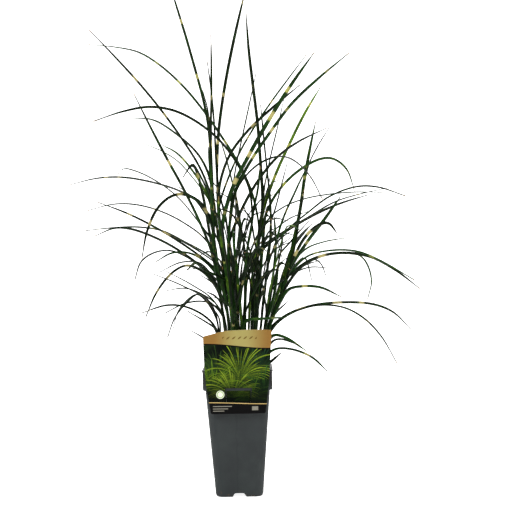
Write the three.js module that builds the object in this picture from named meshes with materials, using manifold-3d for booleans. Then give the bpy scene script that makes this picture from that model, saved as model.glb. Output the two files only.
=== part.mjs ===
// A little zebra miscanthus in its deep square nursery pot, with soil and a printed tag.
// Millimetres, +Z up. The origin is the middle of the pot's foot, on the floor, and the
// tag hangs on the pot's front, which faces -Y.
import * as THREE from "three";
import { mergeVertices } from "three/addons/utils/BufferGeometryUtils.js";
import Module from "manifold-3d";

const wasm = await Module();
wasm.setup();

// Pot, as half widths of a square with round corners.
const POT_HEIGHT = 202;
const FOOT_HALF = 37.5;
const FOOT_ROUND = 6;
const BODY_TOP_HALF = 51;
const WALL = 1.5;
const SKIRT_HALF = 55;
const SKIRT_WALL = 1.2;
const SKIRT_BOTTOM = 170.5;
const SKIRT_BEVEL = 3;
const LIP_PROUD = 1;
const LIP_HEIGHT = 3;
const FLOOR_UNDERSIDE = 8;
const CORNER_ROUND = 10;
const CORNER_STEPS = 5;
const NOTCH_BASE = 22.5;
const NOTCH_TOP = 12;
const NOTCH_HEIGHT = 6.4;
const DRAIN_RADIUS = 3.5;
const DRAIN_RING = 24;
const DRAIN_COUNT = 8;

// Soil, and the holes that the stems stand in.
const GAP = 0.3;
const SOIL_TOP = 190;
const STEM_FOOT = 166;
const STEM_SIDES = 6;

// Tag: its outline on the pot's front, seen from the front as x and z.
const TAG_THICKNESS = 0.8;
const TAG_BACK = -(SKIRT_HALF + LIP_PROUD + GAP);
const TAG_OUTLINE = [
  [-40, 134.6], [41, 135], [43.8, 137.6], [50, 187], [55, 262.5], [52.5, 265.1], [41, 265.8],
  [-17, 265.5], [-30, 262], [-50, 257.2], [-52.4, 254.4], [-51.6, 216.6], [-49, 180.6], [-42.6, 137.2],
];
const TAG_WINDOW = [[-17, 152], [20, 152], [23, 175], [-20, 175]];
const TONGUE_HALF = 17.5;
const TONGUE_MIDDLE = 1.5;
const TONGUE_TOP = 194;

// Grass. The leafy stems fan out from one crown in the soil.
const CROWN = new THREE.Vector2(9, -3);
const FAN_PER_MM = 0.0062;
const BLADE_THICK = 0.75;
const NARROWEST = 3.8;
const BROADEST = 7.2;
const TIP_WIDTH = 0.9;
const TAPER_FROM = 0.5;
const TAPER_POWER = 3.2;
const BLADE_ROOT = 9;
const BLADE_STEP = 62;
const BLADE_BENDS = 4;
const BEND_LENGTH = 64;
const DEPTH_CURVE = 1.15;
const CLEARANCE = 0.9;
const SHEATH_ROOM = 0.9;
const TOP_RADIUS = 1.8;
const DEEPEST = 186;
const STEM_ROUNDS = 60;
const BLADE_ROUNDS = 240;
const EASING = 0.25;
const EASED_SHARE = 0.7;

// The rolls and twists, in radians, among which a blade's own is chosen, and what each costs.
const ROLL_STEPS = 18;
const TWISTS = [0, 0.5, -0.5, 1, -1];
const ROLL_COST = 0.004;
const TWIST_COST = 0.01;

// The eye that the courses below are seen from, in front of the plant.
const EYE = { x: 31, z: 382, distance: 1800 };

// Each leafy stem: where it stands in the soil (x, y), its course above the soil (x, z),
// its radius at the soil, and its blades. A blade has the height where it leaves the stem,
// the width that shows from the front, how far its tip comes forward (-) or goes back (+),
// and its course from root to tip (x, z).
const LEAFY_STEMS = [
  { root: [-24, -8], radius: 1.7, course: [[-27, 225], [-31, 252]], blades: [
    [240, 4, -58, [[-36, 268], [-67, 294], [-105, 304], [-156, 291]]],
    [236, 3, 26, [[-37, 265], [-50, 275], [-82, 295]]],
    [244, 3, 62, [[-32, 280], [-45, 309], [-61, 321], [-76, 311], [-100, 283], [-113, 250]]],
    [226, 3, -24, [[-56, 251], [-76, 263]]],
  ] },
  { root: [-26, 10], radius: 1.7, course: [[-27, 230], [-29, 262]], blades: [
    [250, 2.5, 36, [[-35, 284], [-47, 306], [-64, 320], [-93, 296], [-104, 262]]],
    [244, 2.5, 70, [[-30, 285], [-42, 300], [-61, 320]]],
  ] },
  { root: [-15, -14], radius: 2.1, course: [[-18, 265], [-24, 300], [-30, 345]], blades: [
    [270, 2.5, -40, [[-35, 307], [-66, 332], [-115, 360]]],
    [262, 2.5, 34, [[-28, 297], [-47, 315], [-80, 330], [-115, 327]]],
    [256, 2.5, -76, [[-26, 292], [-50, 308], [-84, 306], [-118, 290]]],
    [285, 3, 30, [[-26, 305], [-36, 318], [-50, 325]]],
    [300, 5, -46, [[-40, 390], [-78, 481], [-120, 562], [-161, 648]]],
    [315, 4, -84, [[-45, 349], [-78, 367], [-105, 354], [-135, 314], [-148, 283]]],
  ] },
  { root: [-17, 8], radius: 2.2,
    course: [[-20, 265], [-25, 310], [-30, 370], [-36, 430], [-40, 480]], blades: [
    [280, 2.5, 96, [[-40, 305], [-80, 331], [-135, 355]]],
    [320, 3, 92, [[-50, 357], [-85, 384], [-115, 392], [-150, 378], [-164, 344]]],
    [310, 4.5, 38, [[-35, 341], [-56, 364], [-105, 400], [-160, 425], [-190, 430], [-230, 416]]],
    [395, 2.5, 110, [[-60, 438], [-100, 485], [-150, 517], [-179, 525], [-190, 515]]],
    [465, 4, 44, [[-57, 503], [-78, 533], [-100, 555], [-117, 563]]],
    [475, 3.5, -18, [[-61, 522], [-67, 530], [-76, 521], [-84, 508]]],
    [345, 5.5, 70, [[-39, 400], [-45, 447], [-55, 497], [-66, 529], [-75, 523], [-83, 509]]],
  ] },
  { root: [-9, -5], radius: 2.4,
    course: [[-12, 265], [-18, 310], [-27, 352], [-34, 390], [-37, 430], [-37, 480], [-38, 540]], blades: [
    [335, 3.5, -52, [[-45, 368], [-75, 387], [-105, 387], [-131, 373]]],
    [360, 3, 66, [[-44, 402], [-80, 434], [-130, 459], [-185, 469], [-240, 458]]],
    [420, 4.5, -88, [[-50, 461], [-75, 480], [-94, 482], [-119, 467], [-141, 427], [-152, 378]]],
    [490, 4, 46, [[-50, 534], [-85, 573], [-130, 603], [-167, 607]]],
    [528, 2.5, -50, [[-41, 615], [-49, 651]]],
    [398, 5, 16, [[-36, 440], [-38, 500], [-42, 560]]],
    [518, 5, 96, [[-42, 600], [-65, 700], [-101, 828]]],
  ] },
  { root: [-3, 5], radius: 2.4,
    course: [[-5, 265], [-10, 320], [-20, 370], [-27, 410], [-31, 440], [-35, 490]], blades: [
    [310, 3, 70, [[-38, 349], [-55, 369], [-85, 373], [-126, 356]]],
    [330, 4, -92, [[-28, 355], [-64, 386], [-110, 418], [-170, 451], [-224, 473]]],
    [425, 4, 124, [[-60, 470], [-100, 492], [-150, 506], [-205, 512], [-268, 500]]],
    [450, 4, -78, [[-50, 512], [-90, 581], [-150, 661], [-232, 752]]],
    [470, 4.5, 84, [[-36, 530], [-36, 600], [-34, 660], [-34, 742]]],
  ] },
  { root: [-6, 17], radius: 2.3,
    course: [[-8, 265], [-12, 310], [-19, 360], [-23, 410], [-27, 450], [-28, 510]], blades: [
    [345, 3.5, 104, [[-31, 372], [-70, 398], [-119, 424], [-170, 431], [-245, 426]]],
    [440, 2.5, 150, [[-40, 468], [-63, 503], [-100, 543], [-150, 567]]],
    [450, 4, 88, [[-18, 485], [12, 553], [54, 618], [121, 706]]],
    [495, 3.5, 60, [[-31, 560], [-32, 610], [-41, 698]]],
    [490, 5.5, -34, [[-26, 560], [-15, 643], [2, 725], [25, 818]]],
    [405, 5, -14, [[-26, 445], [-28, 500], [-29, 552]]],
  ] },
  { root: [-5, -25], radius: 2.3,
    course: [[-7, 265], [-13, 330], [-21, 390], [-26, 440], [-26, 475]], blades: [
    [410, 6.5, -66, [[-8, 479], [42, 574], [88, 647], [134, 710]]],
    [465, 4.5, -28, [[-22, 503], [-4, 549], [32, 592], [111, 658]]],
    [340, 3.5, -112, [[-50, 358], [-64, 371], [-80, 359]]],
    [372, 2.5, -150, [[-34, 420], [-62, 470], [-92, 496]]],
  ] },
  { root: [2, -14], radius: 2.3,
    course: [[0, 265], [-5, 310], [-11, 365], [-12, 397], [-9, 430], [-6, 470]], blades: [
    [335, 2.5, -84, [[-24, 361], [-60, 390], [-100, 414]]],
    [400, 5, -120, [[3, 490], [44, 558], [100, 631], [190, 707]]],
    [395, 5, 84, [[2, 436], [34, 496], [82, 550], [152, 586]]],
    [430, 3, -150, [[4, 489], [40, 529], [80, 541], [115, 517], [142, 469]]],
    [450, 2.5, -96, [[3, 525], [17, 585], [39, 680]]],
  ] },
  { root: [8, 12], radius: 2.3,
    course: [[10, 265], [14, 310], [16, 350], [14, 395], [8, 436], [1, 485]], blades: [
    [335, 5, 66, [[43, 390], [97, 428], [151, 456], [218, 477]]],
    [470, 3.5, 118, [[-4, 500], [-12, 535], [-23, 573]]],
    [370, 3.5, 128, [[4, 395], [7, 430], [-6, 470], [-30, 488]]],
    [310, 3.5, 140, [[20, 350], [34, 392], [40, 430]]],
  ] },
  { root: [12, -4], radius: 2.4,
    course: [[13, 265], [15, 330], [18, 387], [26, 428], [31, 460], [37, 486], [42, 525]], blades: [
    [430, 4, -128, [[24, 485], [5, 529], [-24, 569], [-80, 611], [-130, 624], [-185, 616], [-228, 602]]],
    [375, 3, 94, [[60, 408], [110, 437], [162, 466], [211, 480], [247, 487]]],
    [345, 3.5, -142, [[22, 380], [40, 420], [60, 440], [86, 436]]],
  ] },
  { root: [19, 8], radius: 2.4,
    course: [[24, 265], [29, 310], [34, 360], [38, 410], [42, 444], [46, 480], [50, 505]], blades: [
    [415, 4.5, 112, [[31, 470], [10, 524], [-33, 594], [-80, 656], [-150, 712], [-235, 727]]],
    [395, 3, 138, [[52, 437], [85, 462], [130, 475], [200, 481], [243, 479]]],
    [410, 5, 34, [[58, 466], [75, 489], [100, 514], [147, 537], [168, 531], [183, 515], [194, 482]]],
    [430, 5.5, 72, [[55, 482], [81, 542], [122, 621], [143, 654]]],
    [485, 2.5, 104, [[57, 532], [70, 583], [83, 637]]],
    [448, 5.5, -58, [[44, 475], [43, 510], [38, 600], [27, 705], [23, 778]]],
    [340, 2.5, 120, [[55, 381], [75, 398], [92, 404]]],
  ] },
  { root: [26, -12], radius: 2.3,
    course: [[38, 265], [42, 300], [47, 335], [52, 370], [57, 420], [57, 465], [54, 500]], blades: [
    [370, 3, -106, [[75, 412], [108, 441], [150, 473], [212, 491], [279, 472]]],
    [430, 2.5, -88, [[68, 465], [79, 506], [86, 531]]],
    [490, 3, -70, [[51, 535], [46, 597], [44, 627]]],
    [330, 3.5, -130, [[54, 372], [70, 405], [90, 420]]],
  ] },
  { root: [31, 4], radius: 2.2,
    course: [[46, 265], [52, 300], [57, 330], [61, 360], [65, 400], [63, 445]], blades: [
    [330, 3.5, 58, [[66, 374], [93, 407], [121, 438]]],
    [325, 3.5, 112, [[67, 359], [78, 416]]],
    [395, 4, -44, [[75, 433], [94, 475], [118, 525]]],
    [322, 2.5, 50, [[92, 351], [120, 361], [153, 359]]],
    [272, 5.5, -12, [[54, 290], [61, 318], [66, 345], [69, 372]]],
  ] },
  { root: [34, 16], radius: 2.4,
    course: [[50, 265], [62, 295], [75, 325], [86, 360], [97, 404], [103, 442], [112, 490]], blades: [
    [335, 3, 84, [[103, 372], [111, 376], [117, 360], [122, 338]]],
    [340, 2.5, 116, [[120, 374], [165, 382], [203, 376], [218, 340], [211, 307]]],
    [480, 2.5, 46, [[122, 530], [155, 587]]],
    [322, 6, 40, [[82, 358], [99, 424], [110, 480], [117, 530], [124, 556], [133, 598]]],
    [360, 3, 56, [[116, 392], [150, 403], [183, 408]]],
  ] },
  { root: [36, -8], radius: 2.4, course: [[52, 265], [66, 300], [78, 335], [89, 370]], blades: [
    [285, 5, -64, [[84, 325], [103, 330], [119, 331], [145, 325], [170, 312]]],
    [300, 5, -34, [[82, 332], [97, 354], [128, 375], [171, 383], [225, 373], [282, 335], [298, 322]]],
    [335, 3.5, -76, [[110, 375], [150, 387], [200, 384], [254, 358], [290, 336]]],
    [345, 5, -50, [[100, 389], [123, 421], [148, 432], [165, 414]]],
    [350, 6, -14, [[116, 402], [149, 444], [172, 476]]],
    [340, 2.5, -96, [[126, 374], [141, 360], [146, 344]]],
  ] },
  { root: [41, 3], radius: 1.8, course: [[44, 230], [50, 262]], blades: [
    [240, 4.5, 40, [[54, 262], [72, 279], [93, 290], [118, 298], [184, 303], [243, 292], [284, 254]]],
    [236, 3.5, -48, [[60, 266], [91, 288], [130, 299], [178, 293], [222, 261], [258, 202]]],
    [250, 3.5, 22, [[58, 281], [68, 293], [85, 308]]],
  ] },
  { root: [38, -20], radius: 1.7, course: [[40, 215], [42, 235]], blades: [
    [225, 5.5, -26, [[57, 251], [72, 250], [97, 237], [113, 225]]],
    [220, 4, -52, [[62, 245], [88, 240], [100, 235]]],
    [212, 4.5, 24, [[60, 229], [95, 227], [128, 210], [146, 191]]],
    [202, 5, 8, [[53, 209], [72, 225]]],
  ] },
  { root: [6, -27], radius: 1.8, course: [[7, 240], [8, 268]], blades: [
    [255, 5, -46, [[14, 275], [50, 279], [81, 281]]],
    [248, 3.5, -84, [[-6, 290], [-24, 312], [-38, 316]]],
  ] },
  { root: [14, 22], radius: 2,
    course: [[19, 265], [21, 300], [25, 340], [31, 380], [37, 420], [41, 450]], blades: [
    [300, 3, 60, [[33, 328], [50, 350], [70, 368], [84, 378]]],
    [320, 3, 96, [[36, 352], [54, 378], [74, 399], [93, 412]]],
    [350, 3, 130, [[40, 392], [62, 420], [88, 440], [120, 452]]],
    [400, 2.5, 110, [[42, 440], [52, 480], [60, 520]]],
  ] },
  { root: [30, 27], radius: 2.3,
    course: [[51, 265], [59, 292], [67, 318], [75, 343], [82, 368]], blades: [
    [305, 3.5, 70, [[72, 342], [84, 372], [97, 398], [118, 424]]],
    [325, 5, 40, [[83, 362], [91, 392], [97, 420], [103, 452]]],
    [350, 4.5, 92, [[90, 390], [103, 410], [125, 432]]],
    [315, 3, 120, [[84, 338], [108, 362], [136, 372]]],
  ] },
  { root: [3, -22], radius: 2.3, course: [[7, 265], [6, 300], [4, 325], [1, 350]], blades: [
    [335, 5, -30, [[0, 366], [-3, 398], [-4, 428]]],
    [318, 3, -70, [[14, 350], [30, 386], [42, 404]]],
    [300, 3, -50, [[10, 330], [16, 362], [19, 388]]],
  ] },
  { root: [-12, -23], radius: 2.3, course: [[-13, 265], [-16, 300], [-19, 335], [-22, 365]], blades: [
    [300, 3.5, -28, [[-21, 330], [-28, 362], [-33, 392]]],
    [345, 4.5, 12, [[-22, 380], [-24, 410], [-22, 440]]],
    [285, 3, -90, [[-24, 318], [-40, 340], [-58, 352]]],
  ] },
];

// The rest of the clump, which the front ones hide: leafy stems by one rule, from a seed.
const HIDDEN_STEMS = 12;
const HIDDEN_SEED = 4057;
const HIDDEN_TRIES = 4000;
const HIDDEN_BLADE_TRIES = 40;
const STEM_SPACING = 7.2;
const CROWN_RADIUS = 33;

function seededRandom(seed) {
  let state = seed;
  return () => {
    state = (state * 48271) % 2147483647;
    return state / 2147483647;
  };
}

// A hidden stem leans forward or back more than sideways, so that the clump is as deep as
// it is wide.
function hiddenStem(between, number) {
  const turn = number * 2.4 + between(-0.5, 0.5);
  const reach = CROWN_RADIUS * Math.sqrt(between(0.05, 1));
  const root = [CROWN.x + reach * Math.cos(turn) * 0.8, CROWN.y + reach * Math.sin(turn)];
  const top = between(330, 460);
  const spread = (z) => CROWN.x + (root[0] - CROWN.x) * (1 + FAN_PER_MM * (z - SOIL_TOP));
  const course = [265, 300, 350, top].filter((z, i) => i === 3 || z < top - 20);
  return { root, course: course.map((z) => [spread(z), z]), radius: between(1.9, 2.3) };
}

function hiddenBlade(between, stem, share, side) {
  const [, top] = stem.course[stem.course.length - 1];
  const from = 268 + (top - 12 - 268) * share;
  const out = stem.root[1] < CROWN.y ? -1 : 1;
  const depth = out * (side < 0 ? 0.55 : 1) * between(80, 170);
  const sideways = side * between(14, 74);
  const rise = between(70, 190);
  const droop = between(-10, 60) * (Math.abs(depth) > 120 ? 1 : 0.4);
  const x = CROWN.x + (stem.root[0] - CROWN.x) * (1 + FAN_PER_MM * (from - SOIL_TOP));
  return [from, between(2, 4), depth, [
    [x + sideways * 0.3, from + rise * 0.55],
    [x + sideways * 0.65, from + rise * 0.95],
    [x + sideways, from + rise * 1.05 - droop],
  ]];
}

// Each hidden stem and each of its blades is drawn again until it is clear of all the others.
function addHidden(stems, lines) {
  const random = seededRandom(HIDDEN_SEED);
  const between = (low, high) => low + (high - low) * random();
  const whole = stems.length + HIDDEN_STEMS;
  for (let tries = 0; tries < HIDDEN_TRIES && stems.length < whole; tries++) {
    const stem = hiddenStem(between, stems.length);
    const near = stems.some(({ root: [x, y] }) =>
      Math.hypot(x - stem.root[0], y - stem.root[1]) < STEM_SPACING);
    const line = stemLine(stem);
    if (near || !isClear(line, lines)) continue;
    stem.line = line.points;
    stems.push(stem);
    lines.push(line);
    const count = 3 + Math.floor(between(0, 1.99));
    for (let i = 0; i < count; i++) {
      for (let again = 0; again < HIDDEN_BLADE_TRIES; again++) {
        const share = (i + between(0.2, 0.8)) / count;
        const blade = bladeLine(stem, hiddenBlade(between, stem, share, i % 2 ? -1 : 1));
        if (!isClear(blade, lines)) continue;
        lines.push(blade);
        break;
      }
    }
  }
}

function isClear(line, lines) {
  return lines.every((other) => other.stem === line.stem || line.points.every((_, i) =>
    i === 0 || other.points.every((_, j) => {
      if (j === 0) return true;
      const need = line.half[i - 1] + other.half[j - 1] + CLEARANCE;
      return pieceDistance(line.points[i - 1], line.points[i], other.points[j - 1], other.points[j]) > need;
    })));
}

// How near two straight pieces come to each other.
function pieceDistance(a0, a1, b0, b1) {
  const u = a1.clone().sub(a0);
  const v = b1.clone().sub(b0);
  const w = a0.clone().sub(b0);
  const [uu, uv, vv, uw, vw] = [u.dot(u), u.dot(v), v.dot(v), u.dot(w), v.dot(w)];
  const within = (value) => Math.min(1, Math.max(0, value));
  const spread = uu * vv - uv * uv;
  let s = spread > 1e-9 * uu * vv ? within((uv * vw - vv * uw) / spread) : 0;
  const t = within((uv * s + vw) / vv);
  s = within((uv * t - uw) / uu);
  return w.addScaledVector(u, s).addScaledVector(v, -t).length();
}

// A point read from the front stays on its line of sight when it comes forward or goes back.
function alongSight(x, y, z) {
  const k = (EYE.distance + y) / EYE.distance;
  return new THREE.Vector3(EYE.x + (x - EYE.x) * k, y, EYE.z + (z - EYE.z) * k);
}

// Points along a smooth curve, closer together where it bends.
function evenPoints(points, step, least) {
  const curve = new THREE.CatmullRomCurve3(points, false, "centripetal");
  const fine = curve.getPoints(16 * (points.length - 1));
  const legs = fine.slice(1).map((p, i) => p.clone().sub(fine[i]));
  const run = [0];
  legs.forEach((leg, i) => {
    const turned = i ? leg.angleTo(legs[i - 1]) : 0;
    run.push(run[i] + leg.length() + BEND_LENGTH * turned);
  });
  const length = run[run.length - 1];
  const count = Math.max(least, Math.round(length / step));
  const even = [];
  let at = 1;
  for (let i = 0; i <= count; i++) {
    const want = (length * i) / count;
    while (at < fine.length - 1 && run[at] < want) at++;
    const share = (want - run[at - 1]) / (run[at] - run[at - 1]);
    even.push(fine[at - 1].clone().lerp(fine[at], share));
  }
  return even;
}

// The stem's middle line: upright in the soil, then fanning out with the clump. A line also
// holds half its width, and how freely each of its points may be moved.
function stemLine(stem) {
  const [x, y] = stem.root;
  const points = [new THREE.Vector3(x, y, STEM_FOOT), new THREE.Vector3(x, y, SOIL_TOP + 4)];
  for (const [cx, cz] of stem.course) {
    const cy = CROWN.y + (y - CROWN.y) * (1 + FAN_PER_MM * (cz - SOIL_TOP));
    points.push(new THREE.Vector3(alongSight(cx, cy, cz).x, cy, cz));
  }
  const half = points.map((p) => stemRadius(stem, p.z) + SHEATH_ROOM);
  const free = points.map((p, i) => (i < 2 ? 0 : Math.min(1, (p.z - SOIL_TOP) / 100)));
  return { stem, points, half, free };
}

function stemRadius(stem, z) {
  const [, top] = stem.course[stem.course.length - 1];
  const share = THREE.MathUtils.clamp((z - SOIL_TOP) / (top - SOIL_TOP), 0, 1);
  return THREE.MathUtils.lerp(stem.radius, Math.min(TOP_RADIUS, stem.radius * 0.8), share);
}

function pointAtHeight(line, z) {
  let i = 1;
  while (i < line.length - 1 && line[i].z < z) i++;
  const share = (z - line[i - 1].z) / (line[i].z - line[i - 1].z);
  return line[i - 1].clone().lerp(line[i], share);
}

function bladeWidth(seen, share) {
  const full = THREE.MathUtils.clamp(3.2 + 0.6 * seen, NARROWEST, BROADEST);
  const rootPart = Math.min(1, 0.42 + 3.2 * share);
  const tipPart = 1 - (Math.max(0, share - TAPER_FROM) / (1 - TAPER_FROM)) ** TAPER_POWER;
  return Math.max(TIP_WIDTH, full * Math.min(rootPart, tipPart));
}

// The blade's middle line, from inside its stem out to its tip.
function bladeLine(stem, [from, seen, depth, course]) {
  const inside = pointAtHeight(stem.line, from - BLADE_ROOT);
  const leaving = pointAtHeight(stem.line, from);
  const reach = course.map(([x, z], i) => {
    const before = i ? course[i - 1] : [leaving.x, leaving.z];
    return Math.hypot(x - before[0], z - before[1]);
  });
  const whole = reach.reduce((a, b) => a + b);
  const tipDepth = THREE.MathUtils.clamp(leaving.y + depth, -DEEPEST, DEEPEST) - leaving.y;
  const knots = [inside, leaving];
  let run = 0;
  course.forEach(([x, z], i) => {
    run += reach[i];
    knots.push(alongSight(x, leaving.y + tipDepth * (run / whole) ** DEPTH_CURVE, z));
  });
  const points = evenPoints(knots, BLADE_STEP, BLADE_BENDS);
  const half = points.map((_, i) => bladeWidth(seen, i / (points.length - 1)) / 2);
  const free = points.map((_, i) => (i < 2 ? 0 : Math.min(1, (i - 1) / 2)));
  return { stem, seen, points, half, free };
}

// Lines of different stems that pass too near each other are moved apart, forward and back
// only, so that the plant keeps its outline from the front. A root stays where it is.
function moveApart(lines, rounds) {
  const pieces = [];
  for (const line of lines) {
    line.shift = line.points.map(() => 0);
    for (let i = 1; i < line.points.length; i++) pieces.push({ line, i });
  }
  const meets = [];
  for (let a = 0; a < pieces.length; a++) {
    for (let b = a + 1; b < pieces.length; b++) {
      if (pieces[a].line.stem === pieces[b].line.stem) continue;
      meets.push(...meetsFromFront(pieces[a], pieces[b]));
    }
  }
  for (let round = 0; round < rounds; round++) {
    for (const line of lines) line.push = line.points.map(() => 0);
    for (const meet of meets) pushApart(meet);
    const easing = round < rounds * EASED_SHARE ? EASING : 0;
    for (const line of lines) {
      const moved = line.shift.map((value, i) => value + line.push[i]);
      line.shift = moved.map((value, i) => {
        const next = moved[Math.min(i + 1, moved.length - 1)];
        const before = moved[Math.max(i - 1, 0)];
        return line.free[i] ? value * (1 - easing) + ((next + before) / 2) * easing : 0;
      });
    }
  }
  for (const line of lines) line.points.forEach((p, i) => (p.y += line.shift[i]));
}

// Where two pieces come near each other in the front view: at the ends of both, and where
// they cross.
function meetsFromFront(one, two) {
  const [a0, a1] = [one.line.points[one.i - 1], one.line.points[one.i]];
  const [b0, b1] = [two.line.points[two.i - 1], two.line.points[two.i]];
  const need = one.line.half[one.i - 1] + two.line.half[two.i - 1] + CLEARANCE;
  if (Math.max(a0.x, a1.x) + need < Math.min(b0.x, b1.x)) return [];
  if (Math.max(b0.x, b1.x) + need < Math.min(a0.x, a1.x)) return [];
  if (Math.max(a0.z, a1.z) + need < Math.min(b0.z, b1.z)) return [];
  if (Math.max(b0.z, b1.z) + need < Math.min(a0.z, a1.z)) return [];
  const u = [a1.x - a0.x, a1.z - a0.z];
  const v = [b1.x - b0.x, b1.z - b0.z];
  const w = [a0.x - b0.x, a0.z - b0.z];
  const dot = (p, q) => p[0] * q[0] + p[1] * q[1];
  const within = (value) => Math.min(1, Math.max(0, value));
  const alongTwo = (s) => within((dot(w, v) + dot(u, v) * s) / dot(v, v));
  const alongOne = (t) => within((dot(u, v) * t - dot(u, w)) / dot(u, u));
  const places = [[0, alongTwo(0)], [1, alongTwo(1)], [alongOne(0), 0], [alongOne(1), 1]];
  const spread = dot(u, u) * dot(v, v) - dot(u, v) ** 2;
  if (spread > 1e-9 * dot(u, u) * dot(v, v)) {
    const s = (dot(u, v) * dot(w, v) - dot(v, v) * dot(u, w)) / spread;
    const t = (dot(u, u) * dot(w, v) - dot(u, v) * dot(u, w)) / spread;
    if (s > 0 && s < 1 && t > 0 && t < 1) places.push([s, t]);
  }
  return places
    .map(([s, t]) => ({
      one, two, s, t, need,
      apart: Math.hypot(w[0] + u[0] * s - v[0] * t, w[1] + u[1] * s - v[1] * t),
    }))
    .filter((meet) => meet.apart < need);
}

function depthOf({ line, i }, share) {
  const near = line.points[i - 1].y + line.shift[i - 1];
  const far = line.points[i].y + line.shift[i];
  return near + (far - near) * share;
}

function pushApart({ one, two, s, t, apart, need }) {
  const dy = depthOf(one, s) - depthOf(two, t);
  const short = Math.sqrt(need * need - apart * apart) - Math.abs(dy);
  if (short <= 0) return;
  const side = dy < 0 ? -1 : 1;
  const freeOne = one.line.free[one.i - 1] * (1 - s) + one.line.free[one.i] * s;
  const freeTwo = two.line.free[two.i - 1] * (1 - t) + two.line.free[two.i] * t;
  const both = freeOne + freeTwo;
  if (both < 1e-6) return;
  addPush(one, s, (side * short * freeOne) / both);
  addPush(two, t, (-side * short * freeTwo) / both);
}

function addPush({ line, i }, share, amount) {
  const near = amount * Math.min(1, 2 * (1 - share));
  const far = amount * Math.min(1, 2 * share);
  if (Math.abs(near) > Math.abs(line.push[i - 1])) line.push[i - 1] = near;
  if (Math.abs(far) > Math.abs(line.push[i])) line.push[i] = far;
}

// A closed skin over rings that all have as many points.
function skin(rings, closeEnds = true) {
  const round = rings[0].length;
  const places = rings.flat().flatMap((p) => [p.x, p.y, p.z]);
  const faces = [];
  for (let r = 0; r + 1 < rings.length; r++) {
    for (let k = 0; k < round; k++) {
      const [a, b] = [r * round + k, r * round + ((k + 1) % round)];
      faces.push(a, b, b + round, a, b + round, a + round);
    }
  }
  if (closeEnds) {
    const last = (rings.length - 1) * round;
    for (let k = 1; k + 1 < round; k++) {
      faces.push(0, k + 1, k);
      faces.push(last, last + k, last + k + 1);
    }
  }
  const made = new THREE.BufferGeometry();
  made.setAttribute("position", new THREE.Float32BufferAttribute(places, 3));
  made.setIndex(faces);
  return made;
}

function solidOf(shape) {
  const bare = new THREE.BufferGeometry();
  bare.setAttribute("position", shape.getAttribute("position").clone());
  if (shape.index) bare.setIndex(shape.index.clone());
  const merged = mergeVertices(bare, 1e-4);
  const solid = new wasm.Manifold(new wasm.Mesh({
    numProp: 3,
    vertProperties: merged.getAttribute("position").array,
    triVerts: new Uint32Array(merged.index.array),
  }));
  if (solid.volume() < 0) throw new Error("a shape is inside out");
  return solid;
}

function shapeOf(solid) {
  const mesh = solid.getMesh();
  const made = new THREE.BufferGeometry();
  made.setAttribute("position", new THREE.BufferAttribute(new Float32Array(mesh.vertProperties), 3));
  made.setIndex(new THREE.BufferAttribute(new Uint32Array(mesh.triVerts), 1));
  made.computeVertexNormals();
  return made;
}

// The stem is a slim tapered tube with its foot in the soil.
function stemSolid(stem) {
  const line = stem.line;
  const rings = line.map((p, i) => {
    const radius = stemRadius(stem, p.z);
    return Array.from({ length: STEM_SIDES }, (_, k) => {
      const turn = (2 * Math.PI * k) / STEM_SIDES;
      return new THREE.Vector3(p.x + radius * Math.cos(turn), p.y + radius * Math.sin(turn), p.z);
    });
  });
  return solidOf(skin(rings));
}

// Across the blade at a point of its line: its width lies level, turned about the line by
// roll, and by more from root to tip where the blade is twisted.
function bladeAcross(points, i, { roll, twist }) {
  const before = points[Math.max(i - 1, 0)];
  const after = points[Math.min(i + 1, points.length - 1)];
  const along = after.clone().sub(before).normalize();
  const tip = points[points.length - 1];
  const level = new THREE.Vector3(-(tip.y - points[0].y), tip.x - points[0].x, 0).normalize();
  const wide = level.addScaledVector(along, -level.dot(along)).normalize();
  const face = along.clone().cross(wide);
  const turn = roll + twist * (i / (points.length - 1) - 0.5);
  return {
    along,
    wide: wide.clone().multiplyScalar(Math.cos(turn)).addScaledVector(face, Math.sin(turn)),
    face: face.clone().multiplyScalar(Math.cos(turn)).addScaledVector(wide, -Math.sin(turn)),
  };
}

// The roll and twist that make the width seen from the front come out nearest to the one read
// from the photograph, all along the blade.
function bladeTurn({ points, seen }) {
  const wanted = Math.min(1, (seen - 0.5 * BLADE_THICK) / bladeWidth(seen, TAPER_FROM));
  let best = { cost: Infinity };
  for (const twist of TWISTS) {
    for (let step = -ROLL_STEPS; step < ROLL_STEPS; step++) {
      const turn = { roll: (step * Math.PI) / 2 / ROLL_STEPS, twist };
      let cost = ROLL_COST * Math.abs(turn.roll) + TWIST_COST * Math.abs(twist);
      for (let i = 2; i < points.length; i++) {
        const { along, wide } = bladeAcross(points, i, turn);
        const shows = Math.abs(wide.z * along.x - wide.x * along.z) / Math.hypot(along.x, along.z);
        cost += (shows - wanted) ** 2 / (points.length - 2);
      }
      if (cost < best.cost) best = { cost, ...turn };
    }
  }
  return best;
}

function bladeSolid(blade) {
  const turn = bladeTurn(blade);
  const rings = blade.points.map((p, i) => {
    const { wide, face } = bladeAcross(blade.points, i, turn);
    const half = blade.half[i];
    return [[1, 1], [-1, 1], [-1, -1], [1, -1]].map(([u, v]) =>
      p.clone().addScaledVector(wide, u * half).addScaledVector(face, (v * BLADE_THICK) / 2));
  });
  return solidOf(skin(rings));
}

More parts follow.
